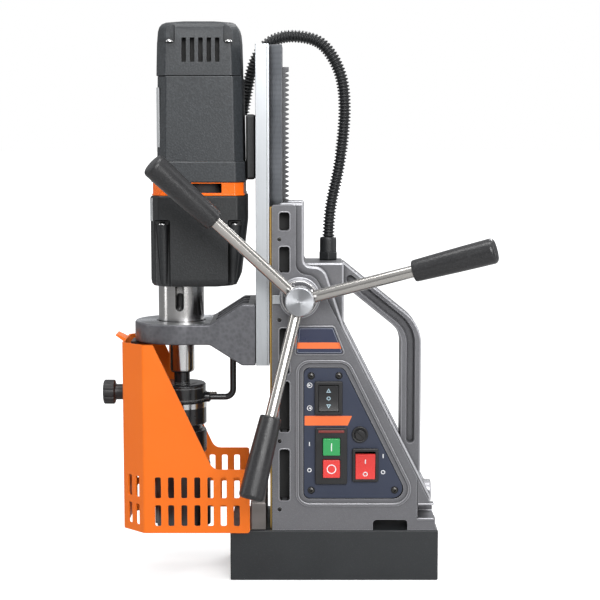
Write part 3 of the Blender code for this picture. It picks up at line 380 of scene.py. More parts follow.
SATIN = {                     # look: name, colour, roughness
    "orange": ("orange_gloss", (0.96, 0.16, 0.008), 0.22),
    "black": ("black_satin", (0.014, 0.014, 0.015), 0.38),
    "hose": ("hose_plastic", (0.013, 0.014, 0.015), 0.4),
    "navy": ("navy_print", (0.026, 0.034, 0.062), 0.38),
    "plate_navy": ("plate_navy", (0.028, 0.034, 0.070), 0.3),
    "print_orange": ("orange_print", (0.88, 0.17, 0.04), 0.4),
    "print_white": ("white_print", (0.78, 0.79, 0.80), 0.45),
    "print_blue": ("blue_print", (0.42, 0.58, 0.66), 0.45),
    "print_grey": ("grey_print", (0.30, 0.33, 0.38), 0.45),
    "green": ("green_key", (0.035, 0.34, 0.10), 0.28),
    "red": ("red_key", (0.74, 0.05, 0.045), 0.28),
    "board": ("board_lacquer", (0.012, 0.085, 0.035), 0.3),
    "red_deep": ("red_hinge", (0.20, 0.03, 0.025), 0.4),
    "label": ("blank_label", (0.38, 0.39, 0.40), 0.4),
    "resin": ("potting_resin", (0.10, 0.035, 0.015), 0.3),
    # painted shade: near black for hollows, pockets and sheets behind openings that lie in shade
    "inside": ("hollow_shade", (0.006, 0.006, 0.006), 0.6),
}
UPRIGHT = (60.0, 60.0)        # grain scales across a turned part's axis
BRUSHED = {                   # look: name, colour, roughness, grain, scratch depth, colour of the painted highlight on edges
    "steel": ("turned_steel", (0.60, 0.59, 0.58), 0.18, (*UPRIGHT, 2600.0)),
    "bright": ("bright_steel", (0.72, 0.72, 0.72), 0.16, (*UPRIGHT, 1800.0)),
    "dark": ("blackened_steel", (0.085, 0.083, 0.080), 0.3, (80.0, 80.0, 1600.0), 0.1, (0.35, 0.34, 0.32)),
    "rack": ("rack_steel", (0.09, 0.09, 0.094), 0.38, grey(300.0), 0.1, (0.36, 0.36, 0.37)),
    "aluminium": ("milled_aluminium", (0.51, 0.53, 0.55), 0.40, (700.0, 700.0, 12.0), 0.06,
                  (0.95, 0.95, 0.97)),
    "brass": ("brass_strip", (0.62, 0.40, 0.13), 0.3, (500.0, 500.0, 14.0), 0.06, (0.8, 0.6, 0.3)),
    "cutter": ("cutter_steel", (0.10, 0.105, 0.11), 0.34, (*UPRIGHT, 1400.0), 0.1, (0.42, 0.42, 0.43)),
    "barb": ("hose_barb", (0.13, 0.11, 0.09), 0.3, grey(300.0), 0.05, (0.5, 0.45, 0.38)),
    "copper": ("winding", (0.55, 0.20, 0.09), 0.35, grey(700.0)),
}
LOOK = {
    "cast": cast_paint(),
    "hammer": hammer_paint(),
    "grain": grain_plastic("motor_plastic", (0.021, 0.024, 0.027), 560.0),
    "box": grain_plastic("gearbox_plastic", (0.010, 0.011, 0.012), 560.0),
    "grip": grain_plastic("grip_plastic", (0.017, 0.017, 0.018), 700.0, 0.3),
    "magnet": magnet_paint(),
    "guard": powder_coat("guard_powder", (0.84, 0.168, 0.010), (0.74, 0.125, 0.007)),
    "gloss": gloss_black("gloss_black", (0.010, 0.010, 0.011), 0.2),
    "rod": polished_bar("arm_steel", (0.58, 0.56, 0.53), 0.22),
    "flank": machined_block("shaped_flank", (0.40, 0.41, 0.43), 62.0),
    "stop": machined_block("worn_block", (0.24, 0.22, 0.21), 20.0),
    "face": turned_face("hub_face", (0.46, 0.47, 0.49), 0.3),
    **{key: satin_plastic(*row) for key, row in SATIN.items()},
    **{key: brushed_metal(*row) for key, row in BRUSHED.items()},
}


# ---------------------------------------------------------------- outlines

def arc(centre, radius, start, end, steps):
    points = []
    for k in range(steps + 1):
        angle = math.radians(start + (end - start) * k / steps)
        points.append((centre[0] + radius * math.cos(angle), centre[1] + radius * math.sin(angle)))
    return points


def circle(centre, radius, count=48):
    return arc(centre, radius, 0.0, 360.0, count)[:-1]


def rectangle(low, high):
    return [(low[0], low[1]), (high[0], low[1]), (high[0], high[1]), (low[0], high[1])]


def slot(start, end, radius, steps=8):
    heading = math.degrees(math.atan2(end[1] - start[1], end[0] - start[0]))
    return (arc(start, radius, heading + 90, heading + 270, steps)
            + arc(end, radius, heading - 90, heading + 90, steps))


def rounded(corners, radii, steps=6):
    """The outline through the corners, each one rounded by its own radius."""
    points = []
    for index, corner in enumerate(corners):
        radius = radii[index] if isinstance(radii, (list, tuple)) else radii
        here = Vector(corner)
        if radius <= 0:
            points.append(tuple(here))
            continue
        before = (Vector(corners[index - 1]) - here).normalized()
        after = (Vector(corners[(index + 1) % len(corners)]) - here).normalized()
        half = before.angle(after) / 2
        centre = here + (before + after).normalized() * radius / math.sin(half)
        first = here + before * radius / math.tan(half) - centre
        last = here + after * radius / math.tan(half) - centre
        start = math.atan2(first.y, first.x)
        sweep = (math.atan2(last.y, last.x) - start + math.pi) % (2 * math.pi) - math.pi
        for k in range(steps + 1):
            angle = start + sweep * k / steps
            points.append((centre.x + radius * math.cos(angle), centre.y + radius * math.sin(angle)))
    return points


def inset(corners, distance):
    """An anticlockwise outline's corners after moving every side inwards."""
    moved = []
    for index, corner in enumerate(corners):
        here = Vector(corner)
        before = (here - Vector(corners[index - 1])).normalized()
        after = (Vector(corners[(index + 1) % len(corners)]) - here).normalized()
        inward = Vector((-before.y, before.x)) + Vector((-after.y, after.x))
        moved.append(tuple(here + inward * distance / (1 + before.dot(after))))
    return moved


def ribbon(path, half, steps=8):
    """The outline of a band of even width around an open path, with round ends."""
    places = [Vector(p) for p in path]
    headings = []
    for k in range(len(places)):
        ahead = places[min(k + 1, len(places) - 1)] - places[max(k - 1, 0)]
        headings.append(math.atan2(ahead.y, ahead.x))
    left = [(p.x - half * math.sin(h), p.y + half * math.cos(h)) for p, h in zip(places, headings)]
    right = [(p.x + half * math.sin(h), p.y - half * math.cos(h)) for p, h in zip(places, headings)]
    head = math.degrees(headings[-1])
    tail = math.degrees(headings[0])
    return (right[1:-1] + arc(places[-1], half, head - 90, head + 90, steps)
            + list(reversed(left[1:-1])) + arc(places[0], half, tail + 90, tail + 270, steps))


def rounded_box(left, low, right, high, radius, steps=6):
    return rounded(rectangle((left, low), (right, high)), radius, steps)


def chamfered(x0, x1, half, corner, radius=3.0, steps=5):
    """A housing's plan: a rectangle with cut corners, lightly rounded."""
    shape = [(x0 + corner, -half), (x1 - corner, -half), (x1, -half + corner), (x1, half - corner),
             (x1 - corner, half), (x0 + corner, half), (x0, half - corner), (x0, -half + corner)]
    return rounded(shape, radius, steps)


def washer(outer, inner, x=0, z=0, count=32):
    """The two circles of a flat ring."""
    return [circle((x, z), outer, count), circle((x, z), inner, count)]


def triangle(size, up=1):
    """A hollow triangle that points up or down."""
    outer = [(-size, -size * 0.75 * up), (size, -size * 0.75 * up), (0, size * up)]
    return [outer, [(x * 0.5, z * 0.5 - size * 0.06 * up) for x, z in outer]]


def shifted(points, x, y=0.0):
    return [(px + x, py + y) for px, py in points]


def spaced(start, end, count):
    return [start + (end - start) * k / count for k in range(count + 1)]


# ---------------------------------------------------------------- shapes

def add_object(name, data):
    item = bpy.data.objects.new(name, data)
    bpy.context.scene.collection.objects.link(item)
    return item


def evaluated_mesh(item):
    graph = bpy.context.evaluated_depsgraph_get()
    return bpy.data.meshes.new_from_object(item.evaluated_get(graph))


def from_bmesh(name, shape):
    bmesh.ops.recalc_face_normals(shape, faces=shape.faces)
    mesh = bpy.data.meshes.new(name)
    shape.to_mesh(mesh)
    shape.free()
    return add_object(name, mesh)


def bake(item):
    """Turns an object's modifiers into its own mesh."""
    mesh = evaluated_mesh(item)
    item.modifiers.clear()
    item.data = mesh
    return item


def bevel(item, width, segments, degrees):
    edge = item.modifiers.new("soft edges", "BEVEL")
    edge.width = width * MM
    edge.segments = segments
    edge.limit_method = "ANGLE"
    edge.angle_limit = math.radians(degrees)


def even_shading(item, weight=50):
    even = item.modifiers.new("even shading", "WEIGHTED_NORMAL")
    even.keep_sharp = True
    even.weight = weight


def soften(item, width, segments=3, degrees=35.0):
    bevel(item, width, segments, degrees)
    return bake(item)


def curve_shape(name, paths, closed, **settings):
    """The welded shape of a curve through each path of points (metres)."""
    curve = bpy.data.curves.new(name, "CURVE")
    for key, value in settings.items():
        setattr(curve, key, value)
    for path in paths:
        spline = curve.splines.new("POLY")
        spline.points.add(len(path) - 1)
        for point, place in zip(spline.points, path):
            point.co = (*place, 1.0)
        spline.use_cyclic_u = closed
    holder = add_object(name, curve)
    mesh = evaluated_mesh(holder)
    bpy.data.objects.remove(holder, do_unlink=True)
    shape = bmesh.new()
    shape.from_mesh(mesh)
    bmesh.ops.remove_doubles(shape, verts=shape.verts, dist=0.00001)
    return shape


def skin(name, rows):
    """A tube of faces over rows of points (metres), closed at both ends."""
    shape = bmesh.new()
    rings = [[shape.verts.new(point) for point in row] for row in rows]
    for lower, upper in zip(rings, rings[1:]):
        for k in range(len(lower)):
            after = (k + 1) % len(lower)
            shape.faces.new([lower[k], lower[after], upper[after], upper[k]])
    shape.faces.new(rings[0])
    shape.faces.new(rings[-1])
    return from_bmesh(name, shape)


def loft(name, levels):
    """A closed skin over plan outlines, each with its own height and the same number of points."""
    return skin(name, [[(x * MM, y * MM, z * MM) for x, y in outline] for outline, z in levels])


def housing(name, low, high, rows):
    """A moulded box with cut corners; a row trims its left, right and sides at one height."""
    return loft(name, [(chamfered(low.x + left, high.x - right, high.y - side, corner), height)
                       for left, right, side, corner, height in rows])


def formed(name, heights, radius, middle, sides=120):
    """A closed turned body whose radius is a function of the angle and the height."""
    rows = []
    for height in heights:
        row = []
        for k in range(sides):
            angle = 2 * math.pi * k / sides
            reach = radius(angle, height)
            row.append(((middle[0] + reach * math.cos(angle)) * MM,
                        (middle[1] + reach * math.sin(angle)) * MM, height * MM))
        rows.append(row)
    return skin(name, rows)


def boolean(item, tool, operation):
    step = item.modifiers.new("boolean", "BOOLEAN")
    step.operation = operation
    step.solver = "MANIFOLD"
    step.object = tool
    bake(item)
    bpy.data.objects.remove(tool, do_unlink=True)
    return item


def cut(item, *tools):
    for tool in tools:
        boolean(item, tool, "DIFFERENCE")
    return item


def join(item, *tools):
    for tool in tools:
        boolean(item, tool, "UNION")
    return item


def gather(name, items):
    """One object that holds the meshes of several."""
    shape = bmesh.new()
    for item in items:
        mesh = item.data
        mesh.transform(item.matrix_world)
        shape.from_mesh(mesh)
        bpy.data.objects.remove(item, do_unlink=True)
    return from_bmesh(name, shape)


PLANES = {
    "XY": Matrix(((1, 0, 0), (0, 1, 0), (0, 0, 1))),
    "XZ": Matrix(((1, 0, 0), (0, 0, -1), (0, 1, 0))),
    "YZ": Matrix(((0, 0, 1), (1, 0, 0), (0, 1, 0))),
}


def plate(name, loops, plane, low, high, edge=0.0, segments=3, degrees=50.0):
    """A flat outline, with any holes, given thickness from low to high and softened edges."""
    turn = PLANES[plane]
    along = Vector((turn[0][2], turn[1][2], turn[2][2]))
    level = (low + high) / 2 * (along.x + along.y + along.z)
    paths = [[(x * MM, y * MM, 0.0) for x, y in loop] for loop in loops]
    shape = curve_shape(name, paths, True, dimensions="2D", fill_mode="BOTH", extrude=(high - low) / 2 * MM)
    bmesh.ops.dissolve_limit(shape, angle_limit=0.001, verts=shape.verts, edges=shape.edges)
    shape.transform(Matrix.Translation(along * level * MM) @ turn.to_4x4())
    item = from_bmesh(name, shape)
    if edge:
        soften(item, edge, segments, degrees)
    return item


def block(name, low, high, edge=0.0, segments=3):
    size = Vector(high) - Vector(low)
    middle = (Vector(high) + Vector(low)) / 2
    shape = bmesh.new()
    matrix = Matrix.Translation(middle * MM) @ Matrix.Diagonal((*(size * MM), 1.0))
    bmesh.ops.create_cube(shape, size=1.0, matrix=matrix)
    item = from_bmesh(name, shape)
    if edge:
        soften(item, edge, segments)
    return item


def rod(name, start, end, radius, sides=48, end_radius=None):
    line = Vector(end) - Vector(start)
    middle = (Vector(start) + Vector(end)) / 2
    turn = line.to_track_quat("Z", "Y").to_matrix().to_4x4()
    shape = bmesh.new()
    bmesh.ops.create_cone(
        shape, cap_ends=True, segments=sides, radius1=radius * MM,
        radius2=(radius if end_radius is None else end_radius) * MM,
        depth=line.length * MM, matrix=Matrix.Translation(middle * MM) @ turn)
    return from_bmesh(name, shape)


def lathe(name, profile, foot=ORIGIN, axis=UP, sides=96, ring=False):
    """A turned piece; the profile is (radius, height) down its outer side."""
    shape = bmesh.new()
    rows = []
    turns = [2 * math.pi * k / sides for k in range(sides)]
    for radius, height in profile:
        around = turns if radius >= 0.001 else turns[:1]
        reach = radius * MM if radius >= 0.001 else 0.0
        rows.append([shape.verts.new((reach * math.cos(t), reach * math.sin(t), height * MM))
                     for t in around])
    pairs = list(zip(rows, rows[1:]))
    if ring:
        pairs.append((rows[-1], rows[0]))
    for upper, lower in pairs:
        for k in range(sides):
            after = (k + 1) % sides
            corners = [upper[k % len(upper)], lower[k % len(lower)],
                       lower[after % len(lower)], upper[after % len(upper)]]
            distinct = list(dict.fromkeys(corners))
            if len(distinct) > 2:
                shape.faces.new(distinct)
    turn = Vector(axis).to_track_quat("Z", "Y").to_matrix().to_4x4()
    shape.transform(Matrix.Translation(Vector(foot) * MM) @ turn)
    return from_bmesh(name, shape)


def fillets(profile, radii, steps=4):
    """A turned profile with its corners rounded; a single radius leaves both ends sharp."""
    if not isinstance(radii, (list, tuple)):
        radii = [0] + [radii] * (len(profile) - 2) + [0]
    return rounded(profile, radii, steps)


def tube_along(name, points, radius, resolution=6):
    path = [Vector(point) * MM for point in points]
    return from_bmesh(name, curve_shape(name, [path], False, dimensions="3D", bevel_depth=radius * MM,
                                        bevel_resolution=resolution, use_fill_caps=True))


def piece(item, look, body, nodes=(), slot_name=None, degrees=32.0):
    """Finishes a visual piece: shading, material, the body it rides and the nodes it stands for."""
    mesh = item.data
    mesh.materials.clear()
    mesh.materials.append(LOOK[look])
    mesh.shade_smooth()
    mesh.set_sharp_from_angle(angle=math.radians(degrees))
    even_shading(item, 80)
    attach(item, body)
    if nodes:
        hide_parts(*nodes)
        slot_name = slot_name or SLOT_OF[nodes[0]]
    return item


SLOT_OF = {entry["node"]: entry["material_slot"] for entry in frame["record"]["subparts"]}


def paint_shade(item, inside):
    """Paints shade into deep hollows: the faces whose centres pass the test get the near black shade
    material.
    """
    item.data.materials.append(LOOK["inside"])
    for face in item.data.polygons:
        if inside(*(face.center / MM)):
            face.material_index = len(item.data.materials) - 1


def carry(node, look, width=0.0, segments=2, degrees=38.0):
    """Keeps a CAD node's shape, with softened edges and a finished material."""
    item = frame["nodes"][node]
    for place in item.material_slots:
        place.link = "OBJECT"
        place.material = LOOK[look]
    weld = item.modifiers.new("one skin", "WELD")
    weld.merge_threshold = 0.000001
    if width:
        bevel(item, width, segments, degrees)
        even_shading(item)


CARRIED = (                   # node, look, edge width, segments, angle
    ("magnet_core", "magnet", 1.0, 3), ("magnet_coil", "copper", 0.4), ("magnet_resin", "resin", 0.3),
    ("wear_strip_front", "brass", 0.2, 1), ("wear_strip_rear", "brass", 0.2, 1), ("fuse", "print_grey"),
    ("circuit_board", "board", 0.2, 1), ("pinion_shaft", "steel", 0.15, 1), ("rack", "rack", 0.12, 1, 25.0),
    ("guard_bracket", "dark", 0.4), ("motor_bracket", "box", 1.2, 3), ("stator", "rack", 0.3, 1),
    ("armature", "copper", 0.2, 1), ("countershaft", "steel", 0.15, 1), ("spindle_gear", "steel", 0.15, 1))


def both_sides(low, high):
    """A cross band on the control side and its mirror image behind."""
    return [sorted((side * low, side * high)) for side in (-1, 1)]


def side_plates(name, outline, low, high, edge=0.0, segments=3):
    """The same plate on the control side and behind, from low to high off the middle."""
    return [plate(name, [outline], "XZ", near, far, edge, segments) for near, far in both_sides(low, high)]


# ---------------------------------------------------------------- frame casting

FRAME_LOW, FRAME_HIGH = extent("frame_casting")
CHEEK = 49.5                  # half the casting's width over its cheeks
CORE = 40.0                   # half the width of the set-back core between them
SLOPE_BOTTOM = (97.3, 75.3)
SLOPE_TOP = (-17.5, 302.0)
COLUMN_BACK_X = -37.8
FOOT_X = 98.9
TOE_X = 101.0
SHOULDER_TOP = 311.8
RIDGE_CORNERS = (
    (-54.0, 53.0), (96.0, 53.0), (96.0, 66.0), (95.8, 80.0), (9.6, 250.0), (-10.0, 308.6),
    (-29.6, 309.2), (-29.6, 370.6), (-54.0, 370.6))
RIDGE_RADII = (0, 0, 0, 0, 60, 14, 7, 3, 0)
HANDLE_OUTER = ((-8.0, 311.2), (9.6, 311.2), (86.6, 248.6), (86.6, 80.0))
HANDLE_INNER = ((66.2, 110.0), (66.2, 242.3), (-8.0, 302.7))
HANDLE_RADII = (0, 2, 40, 0, 0, 26, 0)
GIB_X = -53.5
GIB_LEVELS = (336.0, 258.0, 201.0, 139.0, 71.0)
POCKETS = ((344.6, 362.0), (304.0, 329.0), (205.0, 250.0), (148.0, 198.0), (80.0, 131.0))
PANEL_CORNERS = ((-29.9, 82.0), (73.0, 82.0), (8.9, 211.0), (-29.9, 211.0))
PANEL_RADII = (6.0, 10.0, 7.0, 6.0)
PLATE_CORNERS = ((-37.0, 225.5), (8.3, 225.5), (-1.5, 250.6), (-34.6, 250.6))


def frame_outline(shift, trim=0.0, slope_shift=0.0):
    """The casting's side view; shift moves its slope and column back, trim its other sides in."""
    low = FRAME_LOW.z + trim
    front = FRAME_LOW.x + trim
    crest = FRAME_HIGH.z - trim
    along = Vector(SLOPE_TOP) - Vector(SLOPE_BOTTOM)
    out = Vector((along.y, -along.x)).normalized() * (shift + slope_shift)
    bottom = Vector(SLOPE_BOTTOM) + out
    top = Vector(SLOPE_TOP) + out + Vector((0, shift * 0.4))
    back = COLUMN_BACK_X + shift
    toe = TOE_X - trim
    foot = FOOT_X - trim
    corners = [(front, low), (toe, low), (foot, low + 4.0), (foot, 67.0), tuple(bottom), tuple(top),
               (back, top.y + 0.5), (back, crest), (front, crest)]
    return rounded(corners, (0, 0, 3, 0, 0, 14 - shift, 11 - shift, 3, 2))


def carve_column(casting):
    """Dovetail groove, rack channel, pinion pocket and bush bore."""
    face = FRAME_LOW.x - 1.0
    flare = [(face, -25.6), (-50.6, -31.5), (-50.6, 31.5), (face, 25.6)]
    cut(casting, plate("dovetail", [flare], "XY", 62.0, FAR))
    cut(casting, block("rack_channel", (face, -10, 62), (-43.6, 10, FAR)))
    cut(casting, rod("pinion_pocket", (FEED_X, -11, FEED_Z), (FEED_X, 11, FEED_Z), 15.5, 64))
    cut(casting, rod("bush_bore", (FEED_X, -FAR, FEED_Z), (FEED_X, FAR, FEED_Z), 12.3, 64))
    for near, far in both_sides(CHEEK - 2.0, CHEEK + 0.5):
        for foot, head in POCKETS:
            rim = rounded_box(-54.6, foot - 0.9, -42.7, head + 0.9, 3.2)
            join(casting, plate("pocket_rim", [rim], "XZ", near, far, 0.5, 3))
    for near, far in both_sides(35.5, CHEEK + 1):
        for foot, head in POCKETS:
            cut(casting, plate("pocket", [rounded_box(-53.6, foot, -43.7, head, 2.6)], "XZ", near, far))
        for level in GIB_LEVELS:
            cut(casting, rod("gib_hole", (GIB_X, near, level), (GIB_X, far, level), 2.1, 24))


def carve_panel(casting):
    """The recess for the control panel, its rolled border and the nameplate's seat."""
    def grown(margin, radius_growth):
        return rounded(inset(PANEL_CORNERS, -margin), [r + radius_growth for r in PANEL_RADII], 10)

    recess = rounded(inset(PANEL_CORNERS, -0.5), PANEL_RADII, 8)
    bay = rounded(inset(PANEL_CORNERS, 9.0), 3.0)
    border = [grown(7.8, 7.2), grown(5.0, 4.4)]
    join(casting, plate("border", border, "XZ", -CHEEK - 1.3, -CHEEK + 2.0, 1.2, 4))
    cut(casting, plate("border_dish", [grown(5.4, 4.8)], "XZ", -CHEEK - 0.6, -CHEEK + 0.9, 0.7, 3))
    cut(casting, plate("panel_recess", [recess], "XZ", -CHEEK - 2, -45.6))
    cut(casting, plate("bay", [bay], "XZ", -CHEEK - 2, -20.0))
    seat = rounded(inset(PLATE_CORNERS, -1.9), 3.4)
    lip = rounded(inset(PLATE_CORNERS, -0.5), 2.0)
    join(casting, plate("nameplate_seat", [seat], "XZ", -CHEEK - 1.2, -CHEEK + 2.0, 0.6, 3))
    cut(casting, plate("nameplate_bed", [lip], "XZ", -CHEEK - 2, -CHEEK - 0.2))


def make_handle():
    """The carry handle: a rolled bar with a long groove down both flanks."""
    shape = rounded(HANDLE_OUTER + HANDLE_INNER, HANDLE_RADII, 14)
    handle = plate("handle_bar", [shape], "XZ", -16.0, 16.0, 3.2, 4)
    path = [(16.0, 294.4)] + arc((43.3, 229.7), 33.0, 50.9, 0, 14) + [(76.3, 134.0)]
    mouth = ribbon(path, 4.7)
    floor = ribbon(path, 2.9)
    cut(handle, *side_plates("handle_groove", floor, 10.6, 17.0))
    for side in (-1, 1):
        bowl = loft("groove_mouth", [(floor, 13.2), (mouth, 16.4)])
        bowl.data.transform(PLANES["XZ"].to_4x4())
        if side > 0:
            bowl.data.transform(Matrix.Scale(-1, 4, (0, 1, 0)))
            bowl.data.flip_normals()
        cut(handle, bowl)
    return handle


def make_frame():
    core = plate("frame_casting_fine", [frame_outline(-3.4, 0.5)], "XZ", -CORE, CORE, 1.0, 2)
    join(core, *side_plates("cheek", frame_outline(0.0, 0.0, -2.2), CORE - 1.6, CHEEK, 3.0, 5))
    join(core, block("shoulder", (-34.0, -29.0, 240.0), (9.3, 29.0, SHOULDER_TOP), 2.4, 4))
    join(core, *side_plates("ridge", rounded(RIDGE_CORNERS, RIDGE_RADII, 8), 22.0, 34.0, 3.0, 4))
    boss = fillets([(0, 98.2), (11.8, 98.2), (11.8, 70.0), (0, 70.0)], [0, 2, 0, 0])
    join(core, lathe("boss", boss, (0, 0, 78.4), (1, 0, 0), 72))
    join(core, make_handle())
    ring = fillets([(0, 53.1), (18.2, 53.1), (18.8, 50.3), (22.6, 48.6), (0, 44.0)], [0, 1.6, 1.2, 0, 0])
    for axis in (FORWARDS, BACKWARDS):
        join(core, lathe("hub_boss", ring, FEED_CENTRE, axis))
    for near, far in both_sides(40.0, CHEEK + 0.9):
        for low, high in ((60.4, 62.5), (75.4, 77.2)):
            join(core, block("strap_lip", (81.0, near, low), (97.6, far, high), 0.8, 3))
    for near, far in both_sides(20.0, FAR):
        cut(core, block("strap_slot", (81.6, near, 62.6), (FAR, far, 75.3), 1.2, 3))
    carve_column(core)
    carve_panel(core)
    cut(core, plate("bottom_notch", [rounded_box(37.8, 40.0, 71.8, 60.6, 3.5)], "XZ", -FAR, FAR))
    cut(core, *side_plates("foot_crease", rounded_box(80.6, 62.0, 82.2, 112.0, 0.7), CHEEK - 0.8, CHEEK + 1))
    piece(core, "cast", "frame", ["frame_casting"], degrees=34.0)
    # painted shade: the faces inside the column's pockets are made near black
    paint_shade(core, lambda x, y, z: -53.8 < x < -43.5 and 34.0 < abs(y) < CHEEK - 1.2
            and any(low < z < high for low, high in POCKETS))


def make_stop():
    low, high = extent("stop_block")
    stop = block("stop_block_fine", low, high, 1.4, 4)
    for near, far in both_sides(30.0, 33.0):
        cut(stop, block("stop_groove", (low.x - 1, near, low.z - 1), (low.x + 0.5, far, high.z + 1)))
    piece(stop, "stop", "frame", ["stop_block"])


def socket_screw(name, at, axis, radius, look, body, height=2.4, nodes=()):
    """A button head with a hexagon socket; at is the top of its seat."""
    turns = [math.radians(a) for a in range(0, 91, 15)]
    crown = [(radius * math.sin(t), height * math.cos(t)) for t in turns]
    head = lathe(name, crown + [(radius, -0.6), (0, -0.6)], at, axis, 40)
    direction = Vector(axis)
    start = Vector(at) + direction * (height - 1.5)
    cut(head, rod("socket", start, Vector(at) + direction * (height + 2), radius * 0.42, 6))
    return piece(head, look, body, nodes)


def make_bushes():
    flange = fillets([(16.9, 57.4), (16.9, 53.5), (12.0, 53.5), (12.0, 12.5), (8.15, 12.5), (8.15, 57.4)],
                     [1.2, 0, 0, 0, 0, 0.6])
    bush = lathe("front_bush_fine", flange, FEED_CENTRE, FORWARDS, ring=True)
    piece(bush, "cast", "frame", ["pinion_bush_front"])
    # painted highlight: a thin bright steel ring stands in for the light on the flange's rounded rim
    rim = fillets([(17.2, 57.6), (17.2, 55.9), (16.2, 55.9), (16.2, 57.6)], [0.5, 0, 0, 0.2])
    rim = lathe("bush_rim", rim, FEED_CENTRE, FORWARDS, ring=True)
    piece(rim, "steel", "frame", slot_name="steel")
    cover = fillets([(0, 57.4), (15.5, 57.4), (16.9, 56.0), (16.9, 53.5), (12, 53.5), (12, 12.5),
                     (8.15, 12.5), (8.15, 52.0), (0, 52.0)], [0, 0, 0.6, 0.3, 0, 0, 0, 0, 0])
    cap = lathe("rear_bush_fine", cover, FEED_CENTRE, BACKWARDS)
    cut(cap, rod("cover_dimple", (FEED_X, 56.6, FEED_Z), (FEED_X, 60, FEED_Z), 9.0, 64, 9.6))
    piece(cap, "cast", "frame", ["pinion_bush_rear"])
    for k in range(3):
        angle = math.radians(90 + 120 * k)
        at = (FEED_X + 12.4 * math.cos(angle), 57.3, FEED_Z + 12.4 * math.sin(angle))
        socket_screw(f"cover_screw_{k}", at, BACKWARDS, 2.2, "dark", "frame", 1.6)


def make_gib_pad():
    """A bare machined pad between the column's front edge and the feed boss."""
    pad = block("gib_pad", (-60.4, -CHEEK - 1.0, FEED_Z - 6.0), (-40.0, -CHEEK + 1.0, FEED_Z + 2.4), 0.5, 3)
    cut(pad, rod("pad_round", (FEED_X, -60.0, FEED_Z), (FEED_X, -40.0, FEED_Z), 19.2, 64))
    piece(pad, "aluminium", "frame", slot_name="steel")


def make_gib_screws():
    """Set screws with hexagon sockets along both edges of the column."""
    head = fillets([(0, 2.6), (1.95, 2.6), (1.95, 0), (0, 0)], [0, 0.4, 0, 0], 2)
    for side in (-1, 1):
        for index, level in enumerate(GIB_LEVELS):
            foot = (GIB_X, side * 46.0, level)
            screw = lathe(f"gib_screw_{side + 1}_{index}", head, foot, (0, side, 0), 24)
            cut(screw, rod("socket", (GIB_X, side * 47.2, level), (GIB_X, side * 50.0, level), 1.0, 6))
            piece(screw, "dark", "frame", slot_name="dark_steel")


# ---------------------------------------------------------------- control side

PANEL_FRONT = -48.6
FUSE_AT = (24.9, 145.6)
INK = 0.12                    # thickness of a printed mark
KEY_FACE = -53.4              # y of a see-saw key's front at its ends
KEY_HALF = 12.6               # half its height
KEY_HOLLOW = 1.5              # depth of the hollow at its middle


def mark(name, outline, look, front, body="frame"):
    """A printed mark that lies on a face whose y is given."""
    item = plate(name, [outline] if isinstance(outline[0], tuple) else outline, "XZ", front - INK, front)
    return piece(item, look, body, slot_name="navy")


def make_panel():
    low, high = extent("control_panel")
    loops = [rounded(inset(PANEL_CORNERS, 0.2), PANEL_RADII, 10), rectangle((-17.7, 167.0), (6.1, 196.2)),
             rectangle((-16.4, 98.8), (10.1, 150.2)), rectangle((19.0, 100.5), (41.3, 130.3)),
             circle(FUSE_AT, 6.5, 32)]
    sheet = plate("control_panel_fine", loops, "XZ", low.y, high.y, 0.3, 2)
    piece(sheet, "navy", "frame", ["control_panel"])
    band = rounded([(-29.1, 154.3), (12.9, 154.3), (17.0, 163.8), (-29.1, 163.8)], 0.4, 4)
    mark("panel_band", band, "print_orange", PANEL_FRONT)
    for index, (x, z) in enumerate(((-22.7, 203.2), (4.2, 203.4), (-22.6, 90.0), (59.0, 90.2)), start=1):
        socket_screw(f"panel_screw_fine_{index}", (x, PANEL_FRONT, z), FORWARDS, 3.6, "dark", "frame", 2.2,
                     [f"panel_screw_{index}"])
    x = -24.2
    for index, (z, tip) in enumerate(((194.0, 1), (171.5, -1))):
        mark(f"turn_ring_{index}", washer(2.6, 2.0, x, z), "print_white", PANEL_FRONT)
        arrow = [(x - 1.3 * tip, z - 1.2), (x + 1.2 * tip, z), (x - 1.3 * tip, z + 1.2)]
        mark(f"turn_arrow_{index}", arrow, "print_white", PANEL_FRONT)
    for index, (x, z) in enumerate(((-24.4, 136.0), (47.6, 124.0))):
        stroke = rectangle((x - 0.45, z - 2.0), (x + 0.45, z + 2.0))
        mark(f"on_mark_{index}", stroke, "print_white", PANEL_FRONT)
    for index, (x, z) in enumerate(((-24.4, 110.0), (47.6, 108.0))):
        mark(f"off_mark_{index}", washer(2.1, 1.3, x, z), "print_white", PANEL_FRONT)


def make_nameplate():
    low, high = extent("nameplate")
    sheet = plate("nameplate_fine", [rounded(PLATE_CORNERS, 1.6)], "XZ", low.y, high.y, 0.25, 2)
    piece(sheet, "plate_navy", "frame", ["nameplate"])
    stripe = [(-36.6, 230.2), (6.5, 230.2), (4.2, 236.2), (-36.0, 236.2)]
    mark("nameplate_stripe", rounded(stripe, 0.3, 2), "print_orange", low.y)
    edge = [rounded(inset(PLATE_CORNERS, 0.8), 1.2), rounded(inset(PLATE_CORNERS, 1.1), 1.0)]
    mark("nameplate_line", edge, "print_grey", low.y)


def bezel(name, node, openings, depth=-39.0):
    """A rocker housing: rolled frame proud of the panel around its openings."""
    low, high = extent(node)
    shape = rounded_box(low.x, low.z, high.x, high.z, 2.0)
    shell = plate(name, [shape], "XZ", low.y, PANEL_FRONT - 0.3, 0.9, 3)
    inner = rounded(inset(rectangle((low.x, low.z), (high.x, high.z)), 3.2), 1.0)
    join(shell, plate("housing_body", [inner], "XZ", PANEL_FRONT - 1.0, -24.0))
    for opening in openings:
        cut(shell, plate("opening", [rounded_box(*opening, 0.8)], "XZ", low.y - 1, depth))
    piece(shell, "black", "frame", [node])


